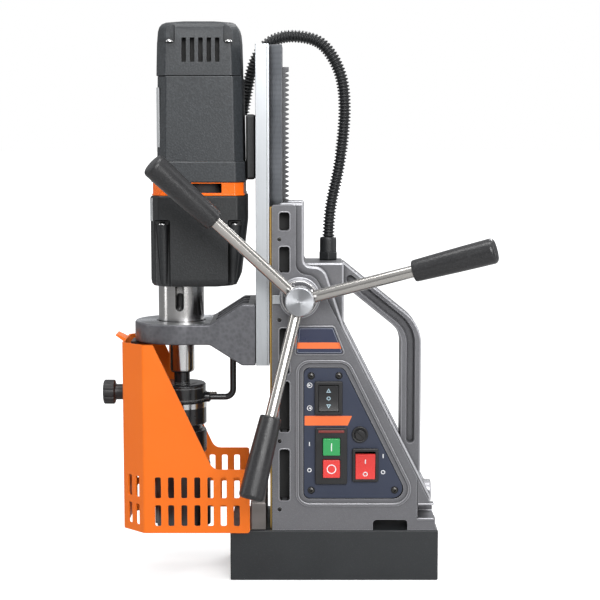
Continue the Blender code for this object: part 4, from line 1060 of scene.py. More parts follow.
def rocker_key(name, node, look, tilt, symbols, ink="print_white"):
    """A see-saw key with a hollowed front, and raised symbols on its two halves."""
    low, high = extent(node)
    middle = (low.z + high.z) / 2
    half = KEY_HALF
    turns = [math.radians(a) for a in range(-90, 91, 15)]
    front = [(KEY_FACE + KEY_HOLLOW * math.cos(t) ** 2, half * math.sin(t)) for t in turns]
    back = [(-49.0, half - 0.3), (-44.5, half - 4), (-44.5, -half + 4), (-49.0, -half + 0.3)]
    key = plate(name, [front + back], "YZ", low.x, high.x, 0.5, 3, 30.0)
    marks = []
    for loops, offset in symbols:
        y = KEY_FACE + KEY_HOLLOW * (1 - (offset / half) ** 2)
        places = [shifted(loop, (low.x + high.x) / 2, offset) for loop in loops]
        marks.append(plate("symbol", places, "XZ", y - 0.35, y + 0.6))
    pivot = Vector((0, -47.5, middle)) * MM
    turn = (Matrix.Translation(pivot) @ Matrix.Rotation(math.radians(tilt), 4, "X")
            @ Matrix.Translation(-pivot) @ Matrix.Translation((0, 0, pivot.z)))
    key.data.transform(turn)
    body = body_of(node)
    piece(key, look, body, [node])
    group = gather(name + "_marks", marks)
    group.data.transform(turn)
    piece(group, ink, body, slot_name="plastic")


def make_switches():
    bezel("direction_switch_fine", "direction_switch_housing", [(-15.8, 168.2, 4.2, 195.0)])
    rocker_key("direction_key_fine", "direction_rocker", "black", 0.0,
               [(triangle(2.3), 7.6), (washer(1.9, 1.2), 0.0), (triangle(2.3, -1), -7.6)], "print_blue")
    bezel("magnet_switch_fine", "magnet_switch_housing", [(20.2, 101.7, 40.1, 129.1)])
    rocker_key("magnet_key_fine", "magnet_rocker", "red", 7.0,
               [([rectangle((-0.5, -2.2), (0.5, 2.2))], 5.2), (washer(2.4, 1.5, count=40), -7.6)])
    bezel("motor_switch_fine", "motor_switch_housing",
          [(-11.7, 125.1, 5.8, 142.7), (-11.7, 103.0, 5.8, 121.5)], -40.0)
    lid = block("motor_switch_hinge", (-15.8, -52.9, 147.6), (9.5, -51.0, 150.2), 0.6, 3)
    piece(lid, "red_deep", "frame", slot_name="plastic")
    symbols = (("start_button", "green", [rectangle((-0.5, -3.9), (0.5, 3.9))]),
               ("stop_button", "red", washer(4.6, 3.7, count=48)))
    for node, look, loops in symbols:
        low, high = extent(node)
        shape = rounded_box(low.x, low.z, high.x, high.z, 0.9)
        key = plate(node + "_fine", [shape], "XZ", low.y, high.y, 0.5, 3)
        piece(key, look, body_of(node), [node])
        places = [shifted(loop, (low.x + high.x) / 2, (low.z + high.z) / 2) for loop in loops]
        sign = plate(node + "_mark", places, "XZ", low.y - INK, low.y + 0.1)
        piece(sign, "print_white", body_of(node), slot_name="plastic")


def make_fuse():
    x, z = FUSE_AT
    at = (x, 0.0, z)
    holder = fillets([(8.0, 51.5), (8.0, 48.9), (6.1, 48.9), (6.1, 20.0), (3.7, 20.0), (3.7, 50.6),
                      (6.0, 51.0)], [0.8, 0.2, 0, 0, 0, 0, 0.5])
    holder = lathe("fuse_holder_fine", holder, at, FORWARDS, 64, ring=True)
    piece(holder, "black", "frame", ["fuse_holder"])
    cap = fillets([(0, 54.4), (4.9, 54.4), (5.3, 51.8), (3.3, 51.8), (3.3, 47.0), (0, 47.0)],
                  [0, 0.6, 0, 0, 0, 0])
    cap = lathe("fuse_cap_fine", cap, at, FORWARDS, 64)
    cut(cap, plate("coin_slot", [slot((x - 3.4, z + 3.4), (x + 3.4, z - 3.4), 0.75)], "XZ", -60.0, -52.9))
    piece(cap, "black", body_of("fuse_cap"), ["fuse_cap"])


# ---------------------------------------------------------------- feed

ARM_TILT = math.radians(14)
ARM_ANGLES = (15.9, 135.9, 255.9)
GRIP_START = 110.5            # distances from the hub's axis, seen from the front
GRIP_END = 187.5
GRIP_RADIUS = 12.0
GRIP_ROUND = 4.0              # the round at the grip's outer end
ARM_RADIUS = 5.75


def make_feed():
    body = body_of("feed_hub")
    front = -HUB_LOW.y
    back = -HUB_HIGH.y
    radius = (HUB_HIGH.x - HUB_LOW.x) / 2
    profile = fillets([(0, front), (radius, front), (radius, back), (0, back)], [0, 1.1, 0.6, 0])
    hub = lathe("feed_hub_fine", profile, ORIGIN, FORWARDS)
    hub.data.transform(PLANES["XZ"].to_4x4().inverted())
    hub.matrix_world = Matrix.Translation(Vector(FEED_CENTRE) * MM) @ PLANES["XZ"].to_4x4()
    piece(hub, "face", body, ["feed_hub"])
    slant = math.cos(ARM_TILT)
    reach = (GRIP_START - radius) / slant
    length = (GRIP_END - GRIP_START) / slant
    shaft = [(0, reach + 12), (ARM_RADIUS, reach + 12), (ARM_RADIUS, -3.5), (0, -3.5)]
    seat_ring = fillets([(6.0, 1.2), (7.3, 0.2), (7.3, -1.6), (6.0, -1.6)], 0)
    turns = [math.radians(a) for a in range(75, -1, -15)]
    dome = [(GRIP_RADIUS + GRIP_ROUND * (math.cos(t) - 1), length + GRIP_ROUND * (math.sin(t) - 1))
            for t in turns]
    crown = [(0, length + 0.3), (5.0, length + 0.15)]
    taper = [(GRIP_RADIUS - 1.7 * t ** 1.4, length - GRIP_ROUND - (length - 6.0) * t)
             for t in (0.2, 0.4, 0.6, 0.8, 1.0)]
    mouth = [(9.9, 0.5), (9.2, 0), (6.3, 0), (5.95, 0.6), (5.95, 10), (0, 10)]
    for index, degrees in enumerate(ARM_ANGLES, start=1):
        angle = math.radians(degrees)
        outwards = Vector((math.cos(angle), 0, math.sin(angle)))
        direction = outwards * slant + Vector((0, -math.sin(ARM_TILT), 0))
        root = Vector((FEED_X, -75.0, FEED_Z)) + outwards * radius
        arm = lathe(f"feed_arm_fine_{index}", shaft, root, direction, 48)
        piece(arm, "rod", body, [f"feed_arm_{index}"])
        seat = lathe(f"arm_seat_{index}", seat_ring, root, direction, 48, ring=True)
        piece(seat, "steel", body, slot_name="steel")
        grip = lathe(f"feed_grip_fine_{index}", crown + dome + taper + mouth, root + direction * reach,
                     direction, 64)
        piece(grip, "grip", body, [f"feed_grip_{index}"], degrees=40.0)


# ---------------------------------------------------------------- slide

def make_slide():
    low, high = extent("slide_plate")
    back = -63.3                  # where the wide plate ends and the dovetail's waist begins
    shape = [(low.x, low.y), (back, low.y), (back, -24.0), (high.x, -31.1), (high.x, 31.1), (back, 24.0),
             (back, high.y), (low.x, high.y)]
    slide = plate("slide_plate_fine", [shape], "XY", low.z, high.z, 0.5, 2, 20.0)
    for near, far in both_sides(44.5, 45.2):
        cut(slide, block("edge_groove", (-65.7, near, low.z - 1), (-65.1, far, high.z + 1)))
    top_screws = high.z - 24.0
    for y in (-30.0, 30.0):
        for z in (low.z + 24.0, low.z + 74.0, top_screws):
            cut(slide, rod("plate_hole", (low.x - 1, y, z), (low.x + 7, y, z), 5.4, 40))
    piece(slide, "aluminium", "slide", ["slide_plate"])
    slide.data.materials.append(LOOK["flank"])
    for face in slide.data.polygons:
        if face.center.x > (back + 0.4) * MM:
            face.material_index = 1
    for index, y in enumerate((-30.0, 30.0)):
        socket_screw(f"plate_screw_{index}", (low.x + 5.0, y, top_screws), (-1, 0, 0), 4.6, "dark", "slide",
                     3.0)


NOSE_X, NOSE_TOP = -121.5, 252.2        # where the arm starts to rise towards the slide
ROOT_X, ROOT_TOP = -90.0, 272.5         # and where it is level again
TOP_SLOPE = 0.644                       # its rise for each millimetre between them
ROD_X = -100.7                          # the coolant rod's socket under the arm


def make_spindle_arm():
    right = extent("spindle_arm")[1].x
    plan = arc((SPINDLE_X, 0), 46.0, 78, 282, 64) + [(right, -45), (right, 45)]
    arm = plate("spindle_arm_fine", [plan], "XY", 200.0, 280.0)
    side = rounded([(-210, 232.7), (NOSE_X, 232.7), (ROOT_X, 212.6), (right + 5, 212.6),
                    (right + 5, ROOT_TOP), (ROOT_X, ROOT_TOP), (NOSE_X, NOSE_TOP), (-210, NOSE_TOP)],
                   (0, 8, 5, 0, 0, 5, 8, 0), 8)
    boolean(arm, plate("arm_side", [side], "XZ", -60, 60), "INTERSECT")
    soften(arm, 1.6, 3, 50.0)
    channel = [(-116.0, 250.6), (-91.5, 266.3), (-84.0, 266.3), (-84.0, 290.0), (-116.0, 290.0)]
    for near, far in ((-33.0, -13.0), (-9.0, 9.0), (13.0, 33.0)):
        cut(arm, plate("web_channel", [channel], "XZ", near, far, 0.8, 2))
    bore = [(0, 260), (24.4, 260), (24.4, 252.4), (22.8, 250.8), (22.8, 200), (0, 200)]
    cut(arm, lathe("neck_bore", bore, SPINDLE_FOOT))
    cut(arm, rod("rod_socket", (ROD_X, 0, 200), (ROD_X, 0, 231), 3.4, 32))
    piece(arm, "hammer", "slide", ["spindle_arm"])

    def in_channel(x, y, z):
        top = min(ROOT_TOP, NOSE_TOP + (x - NOSE_X) * TOP_SLOPE)
        across = 13.1 < abs(y) < 32.9 or abs(y) < 8.9
        return -117.0 < x < -84.1 and 250.8 < z < top - 1.2 and across

    # painted shade: the faces inside the web channels are made near black
    paint_shade(arm, in_channel)
    ring = fillets([(45.0, 252.5), (24.6, 252.5), (24.6, 251.0), (45.0, 251.0)], 0)
    face = lathe("machined_ring", ring, ring=True)
    face.location = (SPINDLE_X * MM, 0, 0)
    cut(face, block("ring_trim", (20.5, -60, 240), (60, 60, 260)))
    piece(face, "face", "slide", slot_name="steel")


GEARBOX_SCREWS = (-166.6, -96.6)
SCREW_SEAT = 349.8
NOTCH_FLOOR = 524.2
VENTS = [8.0 * k - 144.6 for k in range(5)]        # their middles
VENT_LOW, VENT_HIGH = 505.2, 528.3
SCREW_HEAD = fillets([(0, 2.5), (2.4, 2.2), (4.0, 0.7), (4.0, -0.1), (0, -0.1)], [0, 1.2, 0.6, 0, 0])


def head_screws(name, x_places, y, seat):
    """Domed steel screws in the four corners of a housing."""
    for side in (-1, 1):
        for index, x in enumerate(x_places):
            screw = lathe(f"{name}_{side + 1}_{index}", SCREW_HEAD, (x, side * y, seat), UP, 40)
            piece(screw, "bright", "slide", slot_name="steel")


def wrapped_plate(name, left, half, corner, low, high):
    """A thin blank data plate on a housing's far side, folded a little way round its corners."""
    turn = half - corner
    outer = [(left + 1.9, -turn - 2.4), (left - 0.35, -turn), (left - 0.35, turn), (left + 1.9, turn + 2.4)]
    inner = [(x + 0.7, y) for x, y in reversed(outer)]
    sheet = plate(name, [outer + inner], "XY", low, high)
    piece(sheet, "label", "slide", slot_name="aluminium")


def make_gearbox():
    low, high = GEARBOX_LOW, GEARBOX_HIGH
    foot = low.z
    shell = housing("gearbox_fine", low, high, (
        (7.0, 22.0, 6.5, 7.0, foot), (2.6, 13.0, 2.8, 7.6, foot + 1.0), (0.6, 8.6, 0.7, 8.0, foot + 3.6),
        (0.0, 6.6, 0.0, 8.0, foot + 8.0), (0.0, 1.4, 0.0, 8.0, 340.0), (0.0, 0.0, 0.0, 8.0, 352.0),
        (0.0, 0.0, 0.0, 8.0, high.z - 0.8), (0.8, 0.8, 0.8, 7.7, high.z)))
    for near, far in both_sides(39.5, 60.0):
        side = math.copysign(1, near)
        for left, right in ((-174.6, -158.6), (-103.4, -89.6)):
            cut(shell, block("corner_channel", (left, near, foot - 20), (right, far, 354.6), 2.2, 3))
        for foot_x, foot_y, head_x in ((-165.6, 36.5, GEARBOX_SCREWS[0]), (-99.5, 36.0, GEARBOX_SCREWS[1])):
            boss = rod("screw_boss", (foot_x, side * foot_y, foot + 2.4), (head_x, side * 38.4, SCREW_SEAT),
                       4.5, 48, 6.3)
            join(shell, soften(boss, 0.6, 2, 50.0))
    cut(shell, rod("neck_hole", (SPINDLE_X, 0, 280), (SPINDLE_X, 0, 289.5), 22.7, 96))
    hollow = chamfered(low.x + 7.0, high.x - 13.0, 37.5, 7.0)
    cut(shell, plate("gearbox_hollow", [hollow], "XY", 294.0, 376.0))
    cut(shell, plate("gearbox_mouth", [circle((MOTOR_X, 0), 33.0)], "XY", 370.0, FAR))
    cut(shell, rod("spindle_hole", (SPINDLE_X, 0, 280), (SPINDLE_X, 0, 300), 15.8, 64))
    piece(shell, "box", "slide", ["gearbox_housing"])
    head_screws("gearbox_screw", GEARBOX_SCREWS, 40.2, SCREW_SEAT)
    wrapped_plate("gearbox_plate", low.x, 45.0, 8.0, 353.0, 375.5)


def make_baffle():
    low, high = extent("baffle_ring")
    rim = [chamfered(low.x, high.x, high.y, 8.0), chamfered(low.x + 3.5, high.x - 3.5, high.y - 3.5, 6.5)]
    ring = plate("baffle_fine", rim, "XY", low.z, high.z, 0.5, 3)
    for left, right in ((-160.5, -143.5), (-139.0, -109.0)):
        cut(ring, block("air_window", (left, -FAR, 380.2), (right, FAR, 389.4), 0.4, 2))
    for near, far in ((-24.0, -4.0), (4.0, 24.0)):
        cut(ring, block("side_window", (-FAR, near, 380.2), (-140, far, 388.9), 0.5, 2))
    lip = [chamfered(low.x - 0.8, high.x + 0.8, high.y + 0.8, 8.4),
           chamfered(low.x + 2, high.x - 2, high.y - 2, 7.0)]
    join(ring, plate("baffle_lip", lip, "XY", low.z, low.z + 1.6, 0.4, 2))
    piece(ring, "orange", "slide", ["baffle_ring"])
    # painted shade: a near black ring behind the air windows
    shroud = [(36.0, high.z - 0.4), (36.0, low.z + 1.0), (34.5, low.z + 1.0), (34.5, high.z - 0.4)]
    dark = lathe("window_shade_ring", shroud, (MOTOR_X, 0, 0), UP, 72, ring=True)
    piece(dark, "inside", "slide", slot_name="plastic")


def make_motor():
    low, high = extent("motor_collar")
    collar = housing("motor_collar_fine", low, high, (
        (0.8, 0.8, 0.8, 8.6, low.z), (0.0, 0.0, 0.0, 9.0, low.z + 0.8), (0.3, 0.3, 0.3, 9.0, high.z - 1.2),
        (1.4, 1.4, 1.4, 8.6, high.z)))
    cut(collar, rod("collar_bore", (MOTOR_X, 0, 380), (MOTOR_X, 0, 420), 38.5, 96))
    piece(collar, "grain", "slide", ["motor_collar"])
    low, high = MOTOR_LOW, MOTOR_HIGH
    shell = housing("motor_housing_fine", low, high, (
        (0.0, 0.0, 0.0, 8.5, low.z), (1.1, 1.1, 1.1, 8.5, high.z - 0.7), (1.7, 1.7, 1.7, 8.3, high.z)))
    cut(shell, rod("motor_bore", (MOTOR_X, 0, 400), (MOTOR_X, 0, 500), 38.2, 96))
    piece(shell, "grain", "slide", ["motor_housing"])
    wrapped_plate("motor_plate", low.x + 0.3, high.y, 8.5, 424.0, 481.0)


def make_cap():
    low, high = extent("motor_cap")
    crown = ((0.6, 0.0), (0.0, 0.7), (0.2, 12.0), (0.8, 34.0), (1.6, 42.0), (2.8, 46.5), (5.0, 49.6),
             (8.6, 51.5), (14.0, 52.4), (24.0, 52.9))
    cap = housing("motor_cap_fine", low, high,
                  [(trim, trim, trim, 8.5 + trim * 0.25, low.z + rise) for trim, rise in crown])
    hollow = chamfered(low.x + 12.0, high.x - 12.0, 33.0, 6.0)
    cut(cap, plate("cap_hollow", [hollow], "XY", 480.0, 537.0))
    wall = (high.x - low.x) / 2 - 17.6
    notch = [(wall, 60), (wall, 36.6), (wall + 9.6, 36.6), (wall + 20.6, 25.6), (wall + 60, 25.6),
             (wall + 60, 60)]
    for side in (-1, 1):
        for end in (-1, 1):
            shape = rounded([(MOTOR_X + end * x, side * y) for x, y in notch], (0, 1.5, 2.5, 0, 0, 0), 4)
            cut(cap, plate("corner_notch", [shape], "XY", NOTCH_FLOOR, 600.0))
    for x in VENTS:
        mouth = rounded_box(x - 2.2, VENT_LOW, x + 2.2, VENT_HIGH, 0.5, 3)
        cut(cap, plate("vent", [mouth], "XZ", -60.0, 60.0))
    piece(cap, "grain", "slide", ["motor_cap"])
    # painted shade: the faces inside the vents are made near black
    paint_shade(cap, lambda x, y, z: VENT_LOW - 0.2 < z < VENT_HIGH + 0.2 and 12.0 < abs(y) < high.y - 1.5
            and any(abs(x - vent) < 2.3 for vent in VENTS))
    # painted shade: near black sheets stand behind the vents
    shade_sheets = [block("vent_shade_sheet", (-150.0, y, 500.0), (-106.0, y + 1.0, 533.0)) for y in (-30.0, 29.0)]
    piece(gather("vent_shade", shade_sheets), "inside", "slide", slot_name="plastic")
    head_screws("cap_screw", [MOTOR_X + end * (wall + 5.0) for end in (-1, 1)], 40.8, NOTCH_FLOOR)


# ---------------------------------------------------------------- spindle and cutter

def make_neck():
    top = GEARBOX_LOW.z - 0.3
    profile = fillets([(22.5, top), (22.5, 234.4), (21.4, 233.6), (16.2, 233.6), (16.2, top)],
                      [0.3, 0, 0, 0.4, 0])
    neck = lathe("gearbox_neck_fine", profile, SPINDLE_FOOT, sides=120, ring=True)
    keyway = slot((SPINDLE_X, 267.2), (SPINDLE_X, 300.0), 4.2, 12)
    cut(neck, plate("drift_slot", [keyway], "XZ", -40, 40))
    soften(neck, 0.7, 3, 50.0)
    piece(neck, "steel", "slide", ["gearbox_neck"])
    ring = fillets([(22.6, 189.0), (23.8, 187.8), (23.8, 171.8), (23.0, 171.0), (14.9, 171.0), (14.9, 189.0)],
                   [0.4, 0.5, 0.3, 0, 0, 0])
    item = lathe("coolant_ring_fine", ring, SPINDLE_FOOT, ring=True)
    for level in (173.6, 185.4):
        groove = [(25.0, level + 0.5), (25.0, level - 0.5), (23.3, level - 0.3), (23.3, level + 0.3)]
        cut(item, lathe("ring_groove", groove, SPINDLE_FOOT, ring=True))
    piece(item, "gloss", "slide", ["coolant_ring"])


def make_coolant():
    """The coolant rod from the arm to the ring, its union and the barbed hose tail behind it."""
    path = [(ROD_X, 0, 229.0)] + [(x, 0, z) for x, z in arc((ROD_X - 8.0, 182.3), 8.0, 0, -90, 14)]
    path += [(-127.6, 0, 174.3)]
    piece(tube_along("coolant_rod_fine", path, 3.15, 8), "gloss", "slide", ["coolant_rod"])
    union = fillets([(0, 0), (5.2, 0), (5.2, 5.0), (3.6, 6.4), (0, 6.4)], [0, 0.6, 0.5, 0, 0])
    joint = lathe("rod_union", union, (-129.6, 0, 174.3), (1, 0, 0), 40)
    piece(joint, "gloss", "slide", slot_name="dark_steel")
    barbs = []
    for x in (0.0, 2.4, 4.8, 7.2):
        barbs += [(1.6, x), (2.4, x + 0.5), (1.7, x + 2.2)]
    tail = lathe("hose_tail", [(0, -6.0), (1.6, -6.0)] + barbs + [(1.5, 9.8), (0, 9.8)],
                 (-127.6, 12.0, 175.4), (1, 0, 0), 40)
    piece(tail, "barb", "slide", slot_name="brass")
    nut = rod("hose_nut", (-134.0, 12.0, 175.4), (-128.0, 12.0, 175.4), 3.4, 6)
    piece(soften(nut, 0.4), "gloss", "slide", slot_name="dark_steel")


CUTTER_LOW = 45.5
CUTTER_SHOULDER = 107.0
CUTTER_RADIUS = 28.0
FLUTES = 6
FLUTE_SHARE = 0.34            # of the angle from one flute to the next
FLUTE_DEPTH = 1.7
FLUTE_TOP = 84.0              # height where a flute has run out


def make_spindle():
    body = body_of("spindle")
    shell = [(0, 320), (10.0, 320), (10.0, 296), (15.6, 296), (15.6, 233.2), (12.5, 233.2), (12.5, 202),
             (11.3, 200.5), (8.3, 200.5), (8.3, 284), (0, 284)]
    quill = lathe("spindle_fine", fillets(shell, [0, 0.6, 0, 0.8, 0, 0, 0.8, 0, 0, 0, 0]), SPINDLE_FOOT)
    keyway = slot((SPINDLE_X, 266.0), (SPINDLE_X, 277.0), 3.7, 12)
    cut(quill, plate("spindle_slot", [keyway], "XZ", -20, 20))
    piece(quill, "steel", body, ["spindle"])
    arbor = fillets([(0, 281), (7.0, 281), (8.0, 279), (8.0, 189.4), (14.5, 189.4), (14.5, 170.4),
                     (24.4, 170.4), (24.4, 149.0), (22.9, 147.5), (20.0, 147.5), (20.0, 116.0), (9.8, 116.0),
                     (9.8, 147.0), (3.5, 147.0), (3.5, 176.0), (0, 176.0)],
                    [0, 0, 0, 0, 0, 0, 0.6, 0, 0, 0, 0.5, 0, 0, 0, 0, 0])
    piece(lathe("arbor_fine", arbor, SPINDLE_FOOT), "gloss", body, ["arbor"])
    bands = (("arbor_band", [(24.6, 170.2), (24.6, 165.0), (24.2, 164.7), (24.2, 170.4)]),
             ("spindle_sleeve", [(12.7, 230.0), (12.7, 203.0), (12.3, 202.6), (12.3, 230.0)]))
    for name, profile in bands:
        piece(lathe(name, profile, SPINDLE_FOOT, ring=True), "bright", body, slot_name="steel")


def make_release_collar():
    """The knurled sleeve, with plain rims 1.2 high at both ends."""
    low, high = 119.6, 141.8
    rim = 1.2

    def knurl(angle, height):
        edge = min(height - low, high - height)
        if edge < rim:
            return 23.7 + 0.6 * edge / rim
        wave = abs(math.sin(angle * 30 + height * 1.6)) + abs(math.sin(angle * 30 - height * 1.6))
        return 23.9 + 0.3 * wave

    collar = formed("release_collar_fine", spaced(low, high, 37), knurl, (SPINDLE_X, 0), 240)
    cut(collar, rod("collar_bore", (SPINDLE_X, 0, 110), (SPINDLE_X, 0, 150), 20.3, 96))
    piece(collar, "gloss", body_of("release_collar"), ["release_collar"], degrees=60.0)


def make_cutter():
    """The annular cutter with six flutes, its shank and the pilot pin inside."""
    body = body_of("spindle")

    def flutes(angle, height):
        if height > CUTTER_SHOULDER:
            return CUTTER_RADIUS - 6.0 * (height - CUTTER_SHOULDER) / 8.4
        swirl = (angle * FLUTES / (2 * math.pi) - (height - CUTTER_LOW) * 0.0075 + 0.9) % 1.0
        depth = max(0.0, math.sin(swirl * math.pi / FLUTE_SHARE)) if swirl < FLUTE_SHARE else 0.0
        fade = max(0.0, min(1.0, (FLUTE_TOP - height) / 7.0))
        return CUTTER_RADIUS - FLUTE_DEPTH * depth * fade

    heights = spaced(CUTTER_LOW, CUTTER_SHOULDER, 38) + [115.4]
    bit = formed("cutter_fine", heights, flutes, (SPINDLE_X, 0), 192)
    cut(bit, rod("cutter_bore", (SPINDLE_X, 0, 40), (SPINDLE_X, 0, 100), 23.5, 96))
    cut(bit, rod("pilot_bore", (SPINDLE_X, 0, 90), (SPINDLE_X, 0, 120), 3.5, 48))
    for k in range(FLUTES):
        angle = 2 * math.pi * (k + 0.27) / FLUTES
        middle = Vector((SPINDLE_X + 26 * math.cos(angle), 26 * math.sin(angle), CUTTER_LOW - 1.5))
        lean = Vector((-0.2 * math.sin(angle), 0.2 * math.cos(angle), 1)) * 4
        cut(bit, rod("tooth_gap", middle - lean, middle + lean, 2.6, 24))
    piece(bit, "cutter", body, ["cutter"])
    shank = fillets([(0, 145.0), (9.5, 145.0), (9.5, 115.0), (0, 115.0)], [0, 0.8, 0, 0])
    piece(lathe("cutter_shank", shank, SPINDLE_FOOT, sides=64), "steel", body, slot_name="steel")
    pin = lathe("pilot_pin_fine", [(0, 150), (3.1, 150), (3.1, 47.0), (0, 43.5)], SPINDLE_FOOT, sides=48)
    piece(pin, "bright", body_of("pilot_pin"), ["pilot_pin"])


# ---------------------------------------------------------------- guard

SHEET = 1.8                   # thickness of the guard's sheet
GUARD_LEFT = -208.0
GUARD_CREST = 233.8
GUARD_HALF = 54.0             # half the guard's width
GUARD_RUN = 22.0              # of its cut corners
SLOT_ROWS = (55.3, 83.0)
SLOT_PITCH = 12.8
SLOT_HEIGHT = 21.0
SLOT_HALF = 2.95              # half a slot's width
REAR_SHIFT = -4.0             # the rear panel's edge, slope and slots against the front panel's


def guard_side(shift):
    """Side outline of one guard panel, with its edge and slope moved by the shift."""
    right = GUARD_HIGH.x + shift
    corners = [(-230.0, GUARD_LOW.z), (right, GUARD_LOW.z), (right, 111.4), (-118.5 + shift, 111.4),
               (-175.9 + shift, GUARD_CREST), (-230.0, GUARD_CREST)]
    return rounded(corners, (0, 3, 2.4, 10, 0, 0), 8)


def slot_mouth(x, foot):
    return rounded_box(x - SLOT_HALF, foot, x + SLOT_HALF, foot + SLOT_HEIGHT, 1.6, 5)


def make_guard():
    half = GUARD_HALF
    left = GUARD_LEFT
    right = GUARD_HIGH.x + 1.0
    run = GUARD_RUN
    outer = rounded([(right, -half), (left + run, -half), (left, -half + run), (left, half - run),
                     (left + run, half), (right, half)], (0, 4, 4, 4, 4, 0), 6)
    left += SHEET
    half -= SHEET
    thin = run - SHEET * (2 - math.sqrt(2))
    inner = rounded([(right, -half), (left + thin, -half), (left, -half + thin), (left, half - thin),
                     (left + thin, half), (right, half)], (0, 2.2, 2.2, 2.2, 2.2, 0), 6)
    sheet = plate("guard_fine", [outer + list(reversed(inner))], "XY", 47.4, 234.8)
    around = [(-240.0, 30.0), (-60.0, 30.0), (-60.0, 250.0), (-240.0, 250.0)]
    tools = []
    for side, shift in ((-1, 0.0), (1, REAR_SHIFT)):
        cut(sheet, plate("guard_trim", [around, guard_side(shift)], "XZ", *sorted((-side, side * 70.0))))
        for k in range(7):
            for z in SLOT_ROWS:
                mouth = slot_mouth(-172.2 + shift + SLOT_PITCH * k, z)
                tools.append(plate("slot", [mouth], "XZ", *sorted((side * 40.0, side * 70.0))))
        middle = Vector((GUARD_LEFT + run / 2, side * (GUARD_HALF - run / 2), 0))
        along = Vector((1, side, 0)).normalized()
        for step in (-5.6, 5.6):
            for z in SLOT_ROWS:
                tool = plate("corner_slot", [slot_mouth(0.0, z)], "XZ", -6, 6)
                tool.data.transform(Matrix.Translation((middle + along * step) * MM)
                                    @ Matrix.Rotation(math.radians(45 * side), 4, "Z"))
                tools.append(tool)
    stud = rounded_box(-4.0, 64.0, 4.0, 183.9, 3.9, 8)
    tools.append(plate("stud_slot", [stud], "YZ", GUARD_LEFT - 5, GUARD_LEFT + 5))
    cut(sheet, gather("guard_slots", tools))
    lip = [(GUARD_LEFT, 231.3), (left, 231.3), (left, 233.6), (-207.0, 235.0), (-216.0, 239.4),
           (-216.9, 237.9)]
    join(sheet, plate("guard_lip", [lip], "XZ", -11.0, 11.0))
    soften(sheet, 0.35, 2, 50.0)
    piece(sheet, "guard", "guard_shield", ["guard"])


def make_knob():
    body = body_of("guard_knob")
    back, front = 218.8, 230.4          # the head's faces along the stud, from the stud's middle level

    def flutes(angle, height):
        edge = min(height - back, front - height)
        reach = 12.2 - max(0.0, 1.4 - edge) ** 2 * 0.8
        dip = max(0.0, math.cos(angle * 10)) ** 2
        return reach - 0.9 * dip

    heights = [back, 219.2, 219.8, 220.6, 223.0, 226.0, 228.6, 229.2, 229.8, front]
    head = formed("guard_knob_fine", heights, flutes, (0, 0), 160)
    neck = [(0, 219.2), (8.6, 219.2), (7.8, 217.5), (7.8, 209.9), (0, 209.9)]
    join(head, lathe("knob_neck", neck, sides=160))
    stud = lathe("guard_stud", [(0, 209.0), (2.9, 209.0), (2.9, 199.4), (2.5, 199.0), (0, 199.0)], sides=32)
    seat = fillets([(3.1, 209.9), (7.2, 209.9), (7.2, 208.5), (3.1, 208.5)], 0.3)
    seat = lathe("knob_washer", seat, sides=64, ring=True)
    turn = Matrix.Translation(Vector((0, 0, 179.4)) * MM) @ Matrix.Rotation(math.radians(-90), 4, "Y")
    for item in (head, stud, seat):
        item.data.transform(turn)
    piece(head, "black", body, ["guard_knob"])
    piece(stud, "steel", body, slot_name="steel")
    piece(seat, "bright", body, slot_name="steel")


# ---------------------------------------------------------------- conduit

CONDUIT_PATH = (
    (-5.5, 10, 328), (-4.4, 11, 350), (-1.8, 12, 371), (6.3, 15, 411), (10.8, 20, 457.6), (8.2, 25, 490.4),
    (-1.9, 30, 514.7), (-16.7, 35, 529.6), (-40.6, 42, 534.8), (-58.9, 48, 531.7), (-71.5, 52, 522.6),
    (-79.0, 53, 511.0), (-84.0, 53, 496.0), (-88.0, 53, 478.0), (-92.0, 53, 456.2))
RIB_PITCH = 3.4
RIB_WAVE = (0.0, 0.3, 0.95, 1.0, 0.45, 0.05)      # one rib's profile, from valley to crest and back
RIB_HEIGHT = 2.0
VALLEY_RADIUS = 4.35
HOSE_SIDES = 28
GLAND_X, GLAND_Y = -5.5, 10


def smooth_path(points, steps):
    places = [Vector(p) for p in points]
    places = [places[0] * 2 - places[1]] + places + [places[-1] * 2 - places[-2]]
    path = []
    for a, b, c, d in zip(places, places[1:], places[2:], places[3:]):
        for k in range(steps):
            t = k / steps
            path.append(0.5 * (2 * b + (c - a) * t + (2 * a - 5 * b + 4 * c - d) * t ** 2
                               + (3 * b - a - 3 * c + d) * t ** 3))
    return path + [places[-2]]


def evenly(path, step):
    """Points along a path at an even spacing."""
    result = [path[0]]
    spare = 0.0
    for a, b in zip(path, path[1:]):
        run = (b - a).length
        reach = step - spare
        while reach <= run:
            result.append(a.lerp(b, reach / run))
            reach += step
        spare = run - (reach - step)
    return result


